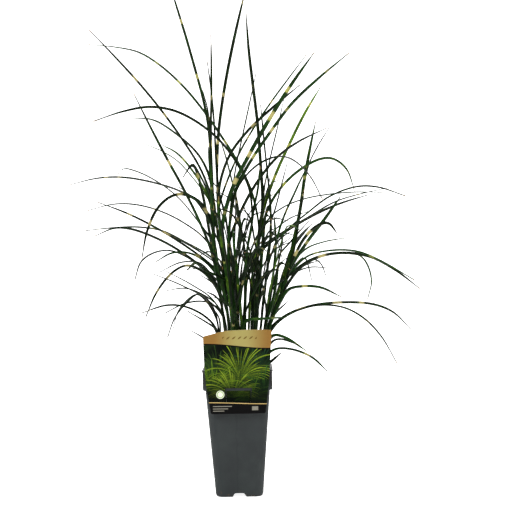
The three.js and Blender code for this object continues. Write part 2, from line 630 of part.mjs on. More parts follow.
// One ring of the pot: a square with round corners.
function squareRing(half, z) {
  const round = Math.min(CORNER_ROUND, half * 0.9);
  const ring = [];
  for (let corner = 0; corner < 4; corner++) {
    const turn = (corner * Math.PI) / 2;
    const [cx, cy] = [[1, 1], [-1, 1], [-1, -1], [1, -1]][corner].map((s) => s * (half - round));
    for (let step = 0; step <= CORNER_STEPS; step++) {
      const angle = turn + (step / CORNER_STEPS) * (Math.PI / 2);
      ring.push(new THREE.Vector3(cx + round * Math.cos(angle), cy + round * Math.sin(angle), z));
    }
  }
  return ring;
}

function bodyHalf(z) {
  return FOOT_HALF + ((BODY_TOP_HALF - FOOT_HALF) * z) / SKIRT_BOTTOM;
}

function prism(outline, height) {
  const shape = new THREE.Shape(outline.map(([x, y]) => new THREE.Vector2(x, y)));
  return new THREE.ExtrudeGeometry(shape, { depth: height, bevelEnabled: false });
}

// The pot is one sheet of plastic: foot, tapered wall, and a rim turned down as a skirt.
function potShape() {
  const rimInside = SKIRT_HALF - SKIRT_WALL;
  const floor = FLOOR_UNDERSIDE + WALL;
  const footFillet = [0, 30, 60, 90].map((deg) => {
    const angle = THREE.MathUtils.degToRad(deg);
    const z = FOOT_ROUND * (1 - Math.cos(angle));
    return [bodyHalf(z) - FOOT_ROUND * 0.5 * (1 - Math.sin(angle)), z];
  });
  const profile = [
    ...footFillet,
    [BODY_TOP_HALF, SKIRT_BOTTOM],
    [BODY_TOP_HALF, POT_HEIGHT - LIP_HEIGHT],
    [rimInside, POT_HEIGHT - LIP_HEIGHT],
    [rimInside, SKIRT_BOTTOM],
    [SKIRT_HALF - 0.4, SKIRT_BOTTOM],
    [SKIRT_HALF, SKIRT_BOTTOM + SKIRT_BEVEL],
    [SKIRT_HALF, POT_HEIGHT - LIP_HEIGHT],
    [SKIRT_HALF + LIP_PROUD, POT_HEIGHT - LIP_HEIGHT + 0.6],
    [SKIRT_HALF + LIP_PROUD, POT_HEIGHT - 0.8],
    [SKIRT_HALF + 0.2, POT_HEIGHT],
    [BODY_TOP_HALF - WALL, POT_HEIGHT],
    [BODY_TOP_HALF - WALL, SKIRT_BOTTOM],
    [bodyHalf(floor) - WALL, floor],
    [0.5, floor],
    [0.5, FLOOR_UNDERSIDE],
    [bodyHalf(FLOOR_UNDERSIDE) - WALL - 0.6, FLOOR_UNDERSIDE],
    [footFillet[0][0] - WALL, 0],
  ];
  const rings = [...profile, profile[0]].map(([half, z]) => squareRing(half, z));
  const tube = solidOf(mergeVertices(skin(rings, false), 1e-4));
  const plug = solidOf(skin([squareRing(2, FLOOR_UNDERSIDE), squareRing(2, floor)]));
  let pot = tube.add(plug);
  const notch = [
    [-NOTCH_BASE / 2, -1], [NOTCH_BASE / 2, -1], [NOTCH_BASE / 2 - 1, 1.2],
    [NOTCH_TOP / 2 + 2, NOTCH_HEIGHT - 1], [NOTCH_TOP / 2, NOTCH_HEIGHT],
    [-NOTCH_TOP / 2, NOTCH_HEIGHT], [-NOTCH_TOP / 2 - 2, NOTCH_HEIGHT - 1], [-NOTCH_BASE / 2 + 1, 1.2],
  ];
  for (const turn of [0, Math.PI / 2]) {
    const cut = prism(notch, 4 * FOOT_HALF);
    cut.rotateX(Math.PI / 2).translate(0, 2 * FOOT_HALF, 0).rotateZ(turn);
    pot = pot.subtract(solidOf(cut));
  }
  for (let i = 0; i < DRAIN_COUNT; i++) {
    const turn = (2 * Math.PI * (i + 0.5)) / DRAIN_COUNT;
    const hole = new THREE.CylinderGeometry(DRAIN_RADIUS, DRAIN_RADIUS, 3 * WALL, 8);
    hole.rotateX(Math.PI / 2);
    hole.translate(DRAIN_RING * Math.cos(turn), DRAIN_RING * Math.sin(turn), floor - WALL / 2);
    pot = pot.subtract(solidOf(hole));
  }
  return shapeOf(pot);
}

// The soil fills the pot, with a plain hole for each stem.
function soilShape(stems) {
  const floor = FLOOR_UNDERSIDE + WALL + GAP;
  const inner = (z) => Math.min(bodyHalf(z), BODY_TOP_HALF) - WALL - GAP;
  const heights = [floor, SKIRT_BOTTOM - 1, SOIL_TOP];
  let soil = solidOf(skin(heights.map((z) => squareRing(inner(z), z))));
  for (const stem of stems) {
    const radius = stem.radius + GAP / Math.cos(Math.PI / STEM_SIDES);
    const depth = SOIL_TOP + 2 - STEM_FOOT + GAP;
    const hole = new THREE.CylinderGeometry(radius, radius, depth, STEM_SIDES);
    hole.rotateX(Math.PI / 2).rotateZ(Math.PI / 2);
    hole.translate(stem.root[0], stem.root[1], STEM_FOOT - GAP + depth / 2);
    soil = soil.subtract(solidOf(hole));
  }
  return shapeOf(soil);
}

// The tag is one sheet. Its tongue is cut out of it and tucked up behind the rim's skirt.
function tagShape() {
  const sheet = prism(TAG_OUTLINE, TAG_THICKNESS);
  sheet.rotateX(Math.PI / 2).translate(0, TAG_BACK, 0);
  const window = prism(TAG_WINDOW, 3 * TAG_THICKNESS);
  window.rotateX(Math.PI / 2).translate(0, TAG_BACK + TAG_THICKNESS, 0);
  const front = TAG_BACK - TAG_THICKNESS;
  const behind = -(SKIRT_HALF - SKIRT_WALL - GAP - 0.1);
  const bend = [
    [TAG_BACK, 148], [TAG_BACK, 153], [behind + TAG_THICKNESS, SKIRT_BOTTOM - 4],
    [behind + TAG_THICKNESS, TONGUE_TOP], [behind, TONGUE_TOP], [behind, SKIRT_BOTTOM - 3.6],
    [front, 153.4], [front, 148],
  ];
  const tongue = prism(bend, 2 * TONGUE_HALF);
  tongue.rotateX(Math.PI / 2).rotateZ(Math.PI / 2).translate(TONGUE_MIDDLE - TONGUE_HALF, 0, 0);
  return shapeOf(solidOf(sheet).subtract(solidOf(window)).add(solidOf(tongue)));
}

function named(name, shape, material) {
  const mesh = new THREE.Mesh(shape, material);
  mesh.name = name;
  return mesh;
}

const potPlastic = new THREE.MeshStandardMaterial({ color: 0x3c4143, roughness: 0.5, metalness: 0 });
const pottingMix = new THREE.MeshStandardMaterial({ color: 0x2a1d14, roughness: 0.95, metalness: 0 });
const printedTag = new THREE.MeshStandardMaterial({ color: 0x6f7a34, roughness: 0.35, metalness: 0 });
const grass = new THREE.MeshStandardMaterial({ color: 0x2f4a14, roughness: 0.5, metalness: 0 });

const stems = [...LEAFY_STEMS];
const lines = stems.map(stemLine);
moveApart(lines, STEM_ROUNDS);
for (const line of lines) {
  line.stem.line = line.points;
  line.half = line.points.map((p) => stemRadius(line.stem, p.z));
  line.free = line.points.map(() => 0);
}
for (const stem of stems) lines.push(...stem.blades.map((blade) => bladeLine(stem, blade)));
moveApart(lines, BLADE_ROUNDS);
addHidden(stems, lines);

const plant = new THREE.Group();
plant.add(named("pot", potShape(), potPlastic));
plant.add(named("soil", soilShape(stems), pottingMix));
plant.add(named("label", tagShape(), printedTag));
stems.forEach((stem, i) => {
  let tiller = stemSolid(stem);
  const blades = lines.filter((line) => line.stem === stem && line.seen);
  for (const blade of blades) tiller = tiller.add(bladeSolid(blade));
  plant.add(named("tiller_" + String(i + 1).padStart(2, "0"), shapeOf(tiller), grass));
});

export default plant;
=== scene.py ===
# %% [markdown]
# # A little zebra miscanthus in its nursery pot
#
# The real thing is a young ornamental grass. Leafy stems stand close together in a deep square
# pot of dark plastic, and each stem sends out long thin blades that arch over and are banded
# across with cream. A printed tag hangs on the pot's front.
#
# The pot, the soil, the tag and every leafy stem come from a CAD model, in which a blade is a
# plain strip with a few bends. This script keeps their places and gives them their finish. Blades
# become smooth folded ribbons with a midrib, the soil gets its crumbs, the tag a print, and the
# pot soft corners.

# %% Load the frame
import math

import bmesh
import bpy
import numpy as np
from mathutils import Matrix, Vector
from mathutils.bvhtree import BVHTree


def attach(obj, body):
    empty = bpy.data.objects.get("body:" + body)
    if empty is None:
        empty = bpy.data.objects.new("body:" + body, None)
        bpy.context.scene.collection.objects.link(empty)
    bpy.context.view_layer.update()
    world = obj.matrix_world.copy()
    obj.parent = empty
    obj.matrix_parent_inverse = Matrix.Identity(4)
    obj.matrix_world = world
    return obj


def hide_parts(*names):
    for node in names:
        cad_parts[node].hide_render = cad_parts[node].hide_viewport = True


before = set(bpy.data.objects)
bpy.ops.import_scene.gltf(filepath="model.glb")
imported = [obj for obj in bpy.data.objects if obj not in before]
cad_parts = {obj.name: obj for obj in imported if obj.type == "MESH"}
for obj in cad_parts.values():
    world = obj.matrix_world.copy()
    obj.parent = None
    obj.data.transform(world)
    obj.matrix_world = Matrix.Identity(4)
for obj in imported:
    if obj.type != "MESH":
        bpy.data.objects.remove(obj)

bpy.context.view_layer.update()

# %% [markdown]
# ## Camera
#
# The plant is seen from the front, from about 1.8 m away and at half its height, so that no
# side of the pot shows. A long lens keeps the square pot from spreading towards its rim. The
# camera leans one degree, as it does in the photograph.

# %% Camera
MM = 0.001
EYE = dict(x=31, z=382.4, distance=1800)
IMAGE_PIXELS = 510
FOCAL_PIXELS = 1115
SENSOR = 36
LEAN = math.radians(1.0)

camera_data = bpy.data.cameras.new("camera")
camera_data.sensor_width = SENSOR
camera_data.lens = SENSOR * FOCAL_PIXELS / IMAGE_PIXELS
camera = bpy.data.objects.new("camera", camera_data)
camera.location = (EYE["x"] * MM, -EYE["distance"] * MM, EYE["z"] * MM)
camera.rotation_euler = (math.radians(90), LEAN, 0)
bpy.context.scene.collection.objects.link(camera)
bpy.context.scene.camera = camera
print("lens in mm:", round(camera_data.lens, 1))

# %% [markdown]
# ## Where each stem and blade goes
#
# A clump like this can't be guessed by a formula, because the eye knows the photograph's own
# arches. So the stems that show are a list, read off the photograph: where each one stands in the
# soil, its course, and for each blade the height where it leaves, the width that shows, how far its
# tip comes forward (-) or goes back (+), and its course. Sizes are millimetres, as in the CAD model,
# which is built from the same list.

# %% The leafy stems that show
LEAFY_STEMS = [
    dict(root=[-24, -8], radius=1.7, course=[[-27, 225], [-31, 252]], blades=[
        [240, 4, -58, [[-36, 268], [-67, 294], [-105, 304], [-156, 291]]],
        [236, 3, 26, [[-37, 265], [-50, 275], [-82, 295]]],
        [244, 3, 62, [[-32, 280], [-45, 309], [-61, 321], [-76, 311], [-100, 283], [-113, 250]]],
        [226, 3, -24, [[-56, 251], [-76, 263]]],
    ]),
    dict(root=[-26, 10], radius=1.7, course=[[-27, 230], [-29, 262]], blades=[
        [250, 2.5, 36, [[-35, 284], [-47, 306], [-64, 320], [-93, 296], [-104, 262]]],
        [244, 2.5, 70, [[-30, 285], [-42, 300], [-61, 320]]],
    ]),
    dict(root=[-15, -14], radius=2.1, course=[[-18, 265], [-24, 300], [-30, 345]], blades=[
        [270, 2.5, -40, [[-35, 307], [-66, 332], [-115, 360]]],
        [262, 2.5, 34, [[-28, 297], [-47, 315], [-80, 330], [-115, 327]]],
        [256, 2.5, -76, [[-26, 292], [-50, 308], [-84, 306], [-118, 290]]],
        [285, 3, 30, [[-26, 305], [-36, 318], [-50, 325]]],
        [300, 5, -46, [[-40, 390], [-78, 481], [-120, 562], [-161, 648]]],
        [315, 4, -84, [[-45, 349], [-78, 367], [-105, 354], [-135, 314], [-148, 283]]],
    ]),
    dict(root=[-17, 8], radius=2.2,
         course=[[-20, 265], [-25, 310], [-30, 370], [-36, 430], [-40, 480]], blades=[
        [280, 2.5, 96, [[-40, 305], [-80, 331], [-135, 355]]],
        [320, 3, 92, [[-50, 357], [-85, 384], [-115, 392], [-150, 378], [-164, 344]]],
        [310, 4.5, 38, [[-35, 341], [-56, 364], [-105, 400], [-160, 425], [-190, 430], [-230, 416]]],
        [395, 2.5, 110, [[-60, 438], [-100, 485], [-150, 517], [-179, 525], [-190, 515]]],
        [465, 4, 44, [[-57, 503], [-78, 533], [-100, 555], [-117, 563]]],
        [475, 3.5, -18, [[-61, 522], [-67, 530], [-76, 521], [-84, 508]]],
        [345, 5.5, 70, [[-39, 400], [-45, 447], [-55, 497], [-66, 529], [-75, 523], [-83, 509]]],
    ]),
    dict(root=[-9, -5], radius=2.4,
         course=[[-12, 265], [-18, 310], [-27, 352], [-34, 390], [-37, 430], [-37, 480], [-38, 540]],
         blades=[
        [335, 3.5, -52, [[-45, 368], [-75, 387], [-105, 387], [-131, 373]]],
        [360, 3, 66, [[-44, 402], [-80, 434], [-130, 459], [-185, 469], [-240, 458]]],
        [420, 4.5, -88, [[-50, 461], [-75, 480], [-94, 482], [-119, 467], [-141, 427], [-152, 378]]],
        [490, 4, 46, [[-50, 534], [-85, 573], [-130, 603], [-167, 607]]],
        [528, 2.5, -50, [[-41, 615], [-49, 651]]],
        [398, 5, 16, [[-36, 440], [-38, 500], [-42, 560]]],
        [518, 5, 96, [[-42, 600], [-65, 700], [-101, 828]]],
    ]),
    dict(root=[-3, 5], radius=2.4,
         course=[[-5, 265], [-10, 320], [-20, 370], [-27, 410], [-31, 440], [-35, 490]], blades=[
        [310, 3, 70, [[-38, 349], [-55, 369], [-85, 373], [-126, 356]]],
        [330, 4, -92, [[-28, 355], [-64, 386], [-110, 418], [-170, 451], [-224, 473]]],
        [425, 4, 124, [[-60, 470], [-100, 492], [-150, 506], [-205, 512], [-268, 500]]],
        [450, 4, -78, [[-50, 512], [-90, 581], [-150, 661], [-232, 752]]],
        [470, 4.5, 84, [[-36, 530], [-36, 600], [-34, 660], [-34, 742]]],
    ]),
    dict(root=[-6, 17], radius=2.3,
         course=[[-8, 265], [-12, 310], [-19, 360], [-23, 410], [-27, 450], [-28, 510]], blades=[
        [345, 3.5, 104, [[-31, 372], [-70, 398], [-119, 424], [-170, 431], [-245, 426]]],
        [440, 2.5, 150, [[-40, 468], [-63, 503], [-100, 543], [-150, 567]]],
        [450, 4, 88, [[-18, 485], [12, 553], [54, 618], [121, 706]]],
        [495, 3.5, 60, [[-31, 560], [-32, 610], [-41, 698]]],
        [490, 5.5, -34, [[-26, 560], [-15, 643], [2, 725], [25, 818]]],
        [405, 5, -14, [[-26, 445], [-28, 500], [-29, 552]]],
    ]),
    dict(root=[-5, -25], radius=2.3,
         course=[[-7, 265], [-13, 330], [-21, 390], [-26, 440], [-26, 475]], blades=[
        [410, 6.5, -66, [[-8, 479], [42, 574], [88, 647], [134, 710]]],
        [465, 4.5, -28, [[-22, 503], [-4, 549], [32, 592], [111, 658]]],
        [340, 3.5, -112, [[-50, 358], [-64, 371], [-80, 359]]],
        [372, 2.5, -150, [[-34, 420], [-62, 470], [-92, 496]]],
    ]),
    dict(root=[2, -14], radius=2.3,
         course=[[0, 265], [-5, 310], [-11, 365], [-12, 397], [-9, 430], [-6, 470]], blades=[
        [335, 2.5, -84, [[-24, 361], [-60, 390], [-100, 414]]],
        [400, 5, -120, [[3, 490], [44, 558], [100, 631], [190, 707]]],
        [395, 5, 84, [[2, 436], [34, 496], [82, 550], [152, 586]]],
        [430, 3, -150, [[4, 489], [40, 529], [80, 541], [115, 517], [142, 469]]],
        [450, 2.5, -96, [[3, 525], [17, 585], [39, 680]]],
    ]),
    dict(root=[8, 12], radius=2.3,
         course=[[10, 265], [14, 310], [16, 350], [14, 395], [8, 436], [1, 485]], blades=[
        [335, 5, 66, [[43, 390], [97, 428], [151, 456], [218, 477]]],
        [470, 3.5, 118, [[-4, 500], [-12, 535], [-23, 573]]],
        [370, 3.5, 128, [[4, 395], [7, 430], [-6, 470], [-30, 488]]],
        [310, 3.5, 140, [[20, 350], [34, 392], [40, 430]]],
    ]),
    dict(root=[12, -4], radius=2.4,
         course=[[13, 265], [15, 330], [18, 387], [26, 428], [31, 460], [37, 486], [42, 525]], blades=[
        [430, 4, -128, [[24, 485], [5, 529], [-24, 569], [-80, 611], [-130, 624],
            [-185, 616], [-228, 602]]],
        [375, 3, 94, [[60, 408], [110, 437], [162, 466], [211, 480], [247, 487]]],
        [345, 3.5, -142, [[22, 380], [40, 420], [60, 440], [86, 436]]],
    ]),
    dict(root=[19, 8], radius=2.4,
         course=[[24, 265], [29, 310], [34, 360], [38, 410], [42, 444], [46, 480], [50, 505]], blades=[
        [415, 4.5, 112, [[31, 470], [10, 524], [-33, 594], [-80, 656], [-150, 712], [-235, 727]]],
        [395, 3, 138, [[52, 437], [85, 462], [130, 475], [200, 481], [243, 479]]],
        [410, 5, 34, [[58, 466], [75, 489], [100, 514], [147, 537], [168, 531], [183, 515], [194, 482]]],
        [430, 5.5, 72, [[55, 482], [81, 542], [122, 621], [143, 654]]],
        [485, 2.5, 104, [[57, 532], [70, 583], [83, 637]]],
        [448, 5.5, -58, [[44, 475], [43, 510], [38, 600], [27, 705], [23, 778]]],
        [340, 2.5, 120, [[55, 381], [75, 398], [92, 404]]],
    ]),
    dict(root=[26, -12], radius=2.3,
         course=[[38, 265], [42, 300], [47, 335], [52, 370], [57, 420], [57, 465], [54, 500]], blades=[
        [370, 3, -106, [[75, 412], [108, 441], [150, 473], [212, 491], [279, 472]]],
        [430, 2.5, -88, [[68, 465], [79, 506], [86, 531]]],
        [490, 3, -70, [[51, 535], [46, 597], [44, 627]]],
        [330, 3.5, -130, [[54, 372], [70, 405], [90, 420]]],
    ]),
    dict(root=[31, 4], radius=2.2,
         course=[[46, 265], [52, 300], [57, 330], [61, 360], [65, 400], [63, 445]], blades=[
        [330, 3.5, 58, [[66, 374], [93, 407], [121, 438]]],
        [325, 3.5, 112, [[67, 359], [78, 416]]],
        [395, 4, -44, [[75, 433], [94, 475], [118, 525]]],
        [322, 2.5, 50, [[92, 351], [120, 361], [153, 359]]],
        [272, 5.5, -12, [[54, 290], [61, 318], [66, 345], [69, 372]]],
    ]),
    dict(root=[34, 16], radius=2.4,
         course=[[50, 265], [62, 295], [75, 325], [86, 360], [97, 404], [103, 442], [112, 490]], blades=[
        [335, 3, 84, [[103, 372], [111, 376], [117, 360], [122, 338]]],
        [340, 2.5, 116, [[120, 374], [165, 382], [203, 376], [218, 340], [211, 307]]],
        [480, 2.5, 46, [[122, 530], [155, 587]]],
        [322, 6, 40, [[82, 358], [99, 424], [110, 480], [117, 530], [124, 556], [133, 598]]],
        [360, 3, 56, [[116, 392], [150, 403], [183, 408]]],
    ]),
    dict(root=[36, -8], radius=2.4, course=[[52, 265], [66, 300], [78, 335], [89, 370]], blades=[
        [285, 5, -64, [[84, 325], [103, 330], [119, 331], [145, 325], [170, 312]]],
        [300, 5, -34, [[82, 332], [97, 354], [128, 375], [171, 383], [225, 373],
            [282, 335], [298, 322]]],
        [335, 3.5, -76, [[110, 375], [150, 387], [200, 384], [254, 358], [290, 336]]],
        [345, 5, -50, [[100, 389], [123, 421], [148, 432], [165, 414]]],
        [350, 6, -14, [[116, 402], [149, 444], [172, 476]]],
        [340, 2.5, -96, [[126, 374], [141, 360], [146, 344]]],
    ]),
    dict(root=[41, 3], radius=1.8, course=[[44, 230], [50, 262]], blades=[
        [240, 4.5, 40, [[54, 262], [72, 279], [93, 290], [118, 298], [184, 303],
            [243, 292], [284, 254]]],
        [236, 3.5, -48, [[60, 266], [91, 288], [130, 299], [178, 293], [222, 261], [258, 202]]],
        [250, 3.5, 22, [[58, 281], [68, 293], [85, 308]]],
    ]),
    dict(root=[38, -20], radius=1.7, course=[[40, 215], [42, 235]], blades=[
        [225, 5.5, -26, [[57, 251], [72, 250], [97, 237], [113, 225]]],
        [220, 4, -52, [[62, 245], [88, 240], [100, 235]]],
        [212, 4.5, 24, [[60, 229], [95, 227], [128, 210], [146, 191]]],
        [202, 5, 8, [[53, 209], [72, 225]]],
    ]),
    dict(root=[6, -27], radius=1.8, course=[[7, 240], [8, 268]], blades=[
        [255, 5, -46, [[14, 275], [50, 279], [81, 281]]],
        [248, 3.5, -84, [[-6, 290], [-24, 312], [-38, 316]]],
    ]),
    dict(root=[14, 22], radius=2,
         course=[[19, 265], [21, 300], [25, 340], [31, 380], [37, 420], [41, 450]], blades=[
        [300, 3, 60, [[33, 328], [50, 350], [70, 368], [84, 378]]],
        [320, 3, 96, [[36, 352], [54, 378], [74, 399], [93, 412]]],
        [350, 3, 130, [[40, 392], [62, 420], [88, 440], [120, 452]]],
        [400, 2.5, 110, [[42, 440], [52, 480], [60, 520]]],
    ]),
    dict(root=[30, 27], radius=2.3,
         course=[[51, 265], [59, 292], [67, 318], [75, 343], [82, 368]], blades=[
        [305, 3.5, 70, [[72, 342], [84, 372], [97, 398], [118, 424]]],
        [325, 5, 40, [[83, 362], [91, 392], [97, 420], [103, 452]]],
        [350, 4.5, 92, [[90, 390], [103, 410], [125, 432]]],
        [315, 3, 120, [[84, 338], [108, 362], [136, 372]]],
    ]),
    dict(root=[3, -22], radius=2.3, course=[[7, 265], [6, 300], [4, 325], [1, 350]], blades=[
        [335, 5, -30, [[0, 366], [-3, 398], [-4, 428]]],
        [318, 3, -70, [[14, 350], [30, 386], [42, 404]]],
        [300, 3, -50, [[10, 330], [16, 362], [19, 388]]],
    ]),
    dict(root=[-12, -23], radius=2.3, course=[[-13, 265], [-16, 300], [-19, 335], [-22, 365]], blades=[
        [300, 3.5, -28, [[-21, 330], [-28, 362], [-33, 392]]],
        [345, 4.5, 12, [[-22, 380], [-24, 410], [-22, 440]]],
        [285, 3, -90, [[-24, 318], [-40, 340], [-58, 352]]],
    ]),
]
print("leafy stems read from the photograph:", len(LEAFY_STEMS))

# %% [markdown]
# ## The rule that the CAD model follows
#
# A blade's depth isn't seen from the front, so it is worked out: each blade runs out to its own
# depth, and stems or blades that would touch are moved apart, forward and back only. The rest of
# the clump is drawn from a seed, and each hidden blade is drawn again until it is clear. The same
# rule runs here in plain numbers, and comes to the same places to a fraction of a millimetre. The
# line of sight is given by the eye's x and z and by its distance.

# %% Sizes of the rule, in millimetres
SIGHT = (31, 382, 1800)
SOIL_TOP = 190
STEM_FOOT = 166
CROWN = (9, -3)
FAN_PER_MM = 0.0062
TOP_RADIUS = 1.8
TOP_SHARE = 0.8
FREE_RISE = 100
BLADE_ROOT = 9
BLADE_THICK = 0.75
FULL_WIDTH = dict(least=3.8, most=7.2, base=3.2, per_seen=0.6)
ROOT_WIDTH = 0.42
ROOT_SPREAD = 3.2
TIP_WIDTH = 0.9
TAPER_FROM = 0.5
TAPER_POWER = 3.2
CURVE_STEPS = 16
BLADE_STEP = 62
FEWEST_BENDS = 4
BEND_LENGTH = 64
HELD_POINTS = 2
DEPTH_CURVE = 1.15
CLEARANCE = 0.9
SHEATH_ROOM = 0.9
DEEPEST = 186


# %% Random numbers that are the same in every language
MULTIPLIER = 48271
MODULUS = 2147483647


def seeded(seed):
    """A function that draws the next number of this seed's row, between low and high."""
    state = seed

    def between(low, high):
        nonlocal state
        state = state * MULTIPLIER % MODULUS
        return low + (high - low) * (state / MODULUS)

    return between


# %% Smooth curves
def along_sight(x, y, z):
    """The place at the depth y that shows from the front where (x, z) does."""
    eye_x, eye_z, distance = SIGHT
    k = (distance + y) / distance
    return np.array([eye_x + (x - eye_x) * k, y, eye_z + (z - eye_z) * k])


def smooth(points, steps):
    """A centripetal Catmull-Rom curve through the points, with some steps in each span."""
    ends = [2 * points[0] - points[1], *points, 2 * points[-1] - points[-2]]
    made = []
    for p0, p1, p2, p3 in zip(ends, ends[1:], ends[2:], ends[3:]):
        d0, d1, d2 = (np.sum((b - a) ** 2) ** 0.25 for a, b in ((p0, p1), (p1, p2), (p2, p3)))
        start = ((p1 - p0) / d0 - (p2 - p0) / (d0 + d1) + (p2 - p1) / d1) * d1
        end = ((p2 - p1) / d1 - (p3 - p1) / (d1 + d2) + (p3 - p2) / d2) * d1
        for k in range(steps):
            t = k / steps
            square = (-3 * p1 + 3 * p2 - 2 * start - end) * t * t
            cube = (2 * p1 - 2 * p2 + start + end) * t * t * t
            made.append(p1 + start * t + square + cube)
    return np.array([*made, points[-1]])


def even_points(points, step, least):
    """Points along the smooth curve, closer together where it bends."""
    fine = smooth(points, CURVE_STEPS)
    legs = np.diff(fine, axis=0)
    lengths = np.linalg.norm(legs, axis=1)
    cosines = np.sum(legs[1:] * legs[:-1], axis=1) / (lengths[1:] * lengths[:-1])
    turned = np.concatenate([[0], np.arccos(np.clip(cosines, -1, 1))])
    run = np.concatenate([[0], np.cumsum(lengths + BEND_LENGTH * turned)])
    count = max(least, math.floor(run[-1] / step + 0.5))
    wanted = run[-1] * np.arange(count + 1) / count
    return np.array([np.interp(wanted, run, fine[:, k]) for k in range(3)]).T


# %% Stems and blades as lines
def stem_radius(stem, z):
    share = np.clip((z - SOIL_TOP) / (stem["course"][-1][1] - SOIL_TOP), 0, 1)
    return stem["radius"] + (min(TOP_RADIUS, stem["radius"] * TOP_SHARE) - stem["radius"]) * share


def stem_line(stem):
    """A stem's bends in space, fanned out from the crown as it rises."""
    x, y = stem["root"]
    points = [(x, y, STEM_FOOT), (x, y, SOIL_TOP + 4)]
    for course_x, z in stem["course"]:
        depth = CROWN[1] + (y - CROWN[1]) * (1 + FAN_PER_MM * (z - SOIL_TOP))
        points.append((along_sight(course_x, depth, z)[0], depth, z))
    points = np.array(points, float)
    free = np.array([0, 0, *np.minimum(1, (points[2:, 2] - SOIL_TOP) / FREE_RISE)])
    return dict(stem=stem, points=points, half=stem_radius(stem, points[:, 2]) + SHEATH_ROOM, free=free)


def blade_width(seen, share, power=TAPER_POWER):
    """A blade's width at a share of its length, from the width that shows."""
    full = FULL_WIDTH["base"] + FULL_WIDTH["per_seen"] * seen
    full = min(FULL_WIDTH["most"], max(FULL_WIDTH["least"], full))
    root_part = np.minimum(1, ROOT_WIDTH + ROOT_SPREAD * share)
    tip_part = 1 - (np.maximum(share - TAPER_FROM, 0) / (1 - TAPER_FROM)) ** power
    return np.maximum(TIP_WIDTH, full * np.minimum(root_part, tip_part))


def at_height(line, z):
    """The place on a rising line at a height."""
    i = 1
    while i < len(line) - 1 and line[i][2] < z:
        i += 1
    share = (z - line[i - 1][2]) / (line[i][2] - line[i - 1][2])
    return line[i - 1] + (line[i] - line[i - 1]) * share


def blade_line(stem, blade):
    """A blade's bends in space, with half its width and how free each bend is to move."""
    leaves_at, seen, depth, course = blade
    leaving = at_height(stem["line"], leaves_at)
    before = [(leaving[0], leaving[2]), *course[:-1]]
    reach = [math.hypot(x - x0, z - z0) for (x, z), (x0, z0) in zip(course, before)]
    tip_depth = min(DEEPEST, max(-DEEPEST, leaving[1] + depth)) - leaving[1]
    knots = [at_height(stem["line"], leaves_at - BLADE_ROOT), leaving]
    for (x, z), run in zip(course, np.cumsum(reach)):
        share = (run / sum(reach)) ** DEPTH_CURVE
        knots.append(along_sight(x, leaving[1] + tip_depth * share, z))
    points = even_points(knots, BLADE_STEP, FEWEST_BENDS)
    order = np.arange(len(points))
    free = np.where(order < HELD_POINTS, 0, np.minimum(1, (order - 1) / 2))
    half = blade_width(seen, order / (len(points) - 1)) / 2
    return dict(stem=stem, seen=seen, points=points, half=half, free=free)


# %% Where two straight pieces meet, seen from the front
PARALLEL = 1e-9


def meets_from_front(one, two):
    """The shares along both pieces at their ends and crossing, and how far apart they are."""
    (a0, a1), (b0, b1) = one, two
    u, v, w = a1 - a0, b1 - b0, a0 - b0
    along_two = [min(1, max(0, (w @ v + u @ v * s) / (v @ v))) for s in (0, 1)]
    along_one = [min(1, max(0, (u @ v * t - u @ w) / (u @ u))) for t in (0, 1)]
    places = [(0, along_two[0]), (1, along_two[1]), (along_one[0], 0), (along_one[1], 1)]
    spread = (u @ u) * (v @ v) - (u @ v) ** 2
    if spread > PARALLEL * (u @ u) * (v @ v):
        s = ((u @ v) * (w @ v) - (v @ v) * (u @ w)) / spread
        t = ((u @ u) * (w @ v) - (u @ v) * (u @ w)) / spread
        if 0 < s < 1 and 0 < t < 1:
            places.append((s, t))
    return [(s, t, float(np.hypot(*(w + u * s - v * t)))) for s, t in places]


def all_meets(lines, starts):
    """Every place where pieces of different stems pass too near, as rows of plain numbers."""
    first = np.concatenate([start + np.arange(len(l["points"]) - 1) for l, start in zip(lines, starts)])
    owner = np.concatenate([np.full(len(l["points"]) - 1, id(l["stem"])) for l in lines])
    half = np.concatenate([l["half"] for l in lines])
    flat = np.concatenate([l["points"] for l in lines])[:, [0, 2]]
    low = np.minimum(flat[first], flat[first + 1])
    high = np.maximum(flat[first], flat[first + 1])
    rows = []
    for i in range(len(first)):
        need = half[first[i]] + half[first] + CLEARANCE
        near = (owner != owner[i]) & (np.arange(len(first)) > i)
        near &= np.all((high[i] + need[:, None] >= low) & (high + need[:, None] >= low[i]), axis=1)
        for j in np.flatnonzero(near):
            a, b = first[i], first[j]
            for s, t, apart in meets_from_front(flat[a:a + 2], flat[b:b + 2]):
                if apart < need[j]:
                    rows.append((a, b, s, t, apart, need[j]))
    return np.array(rows)


# %% Move what would touch apart, forward and back only
STEM_ROUNDS = 60
BLADE_ROUNDS = 240
EASING = 0.25
EASED_ROUNDS = 0.7
HELD = 1e-6


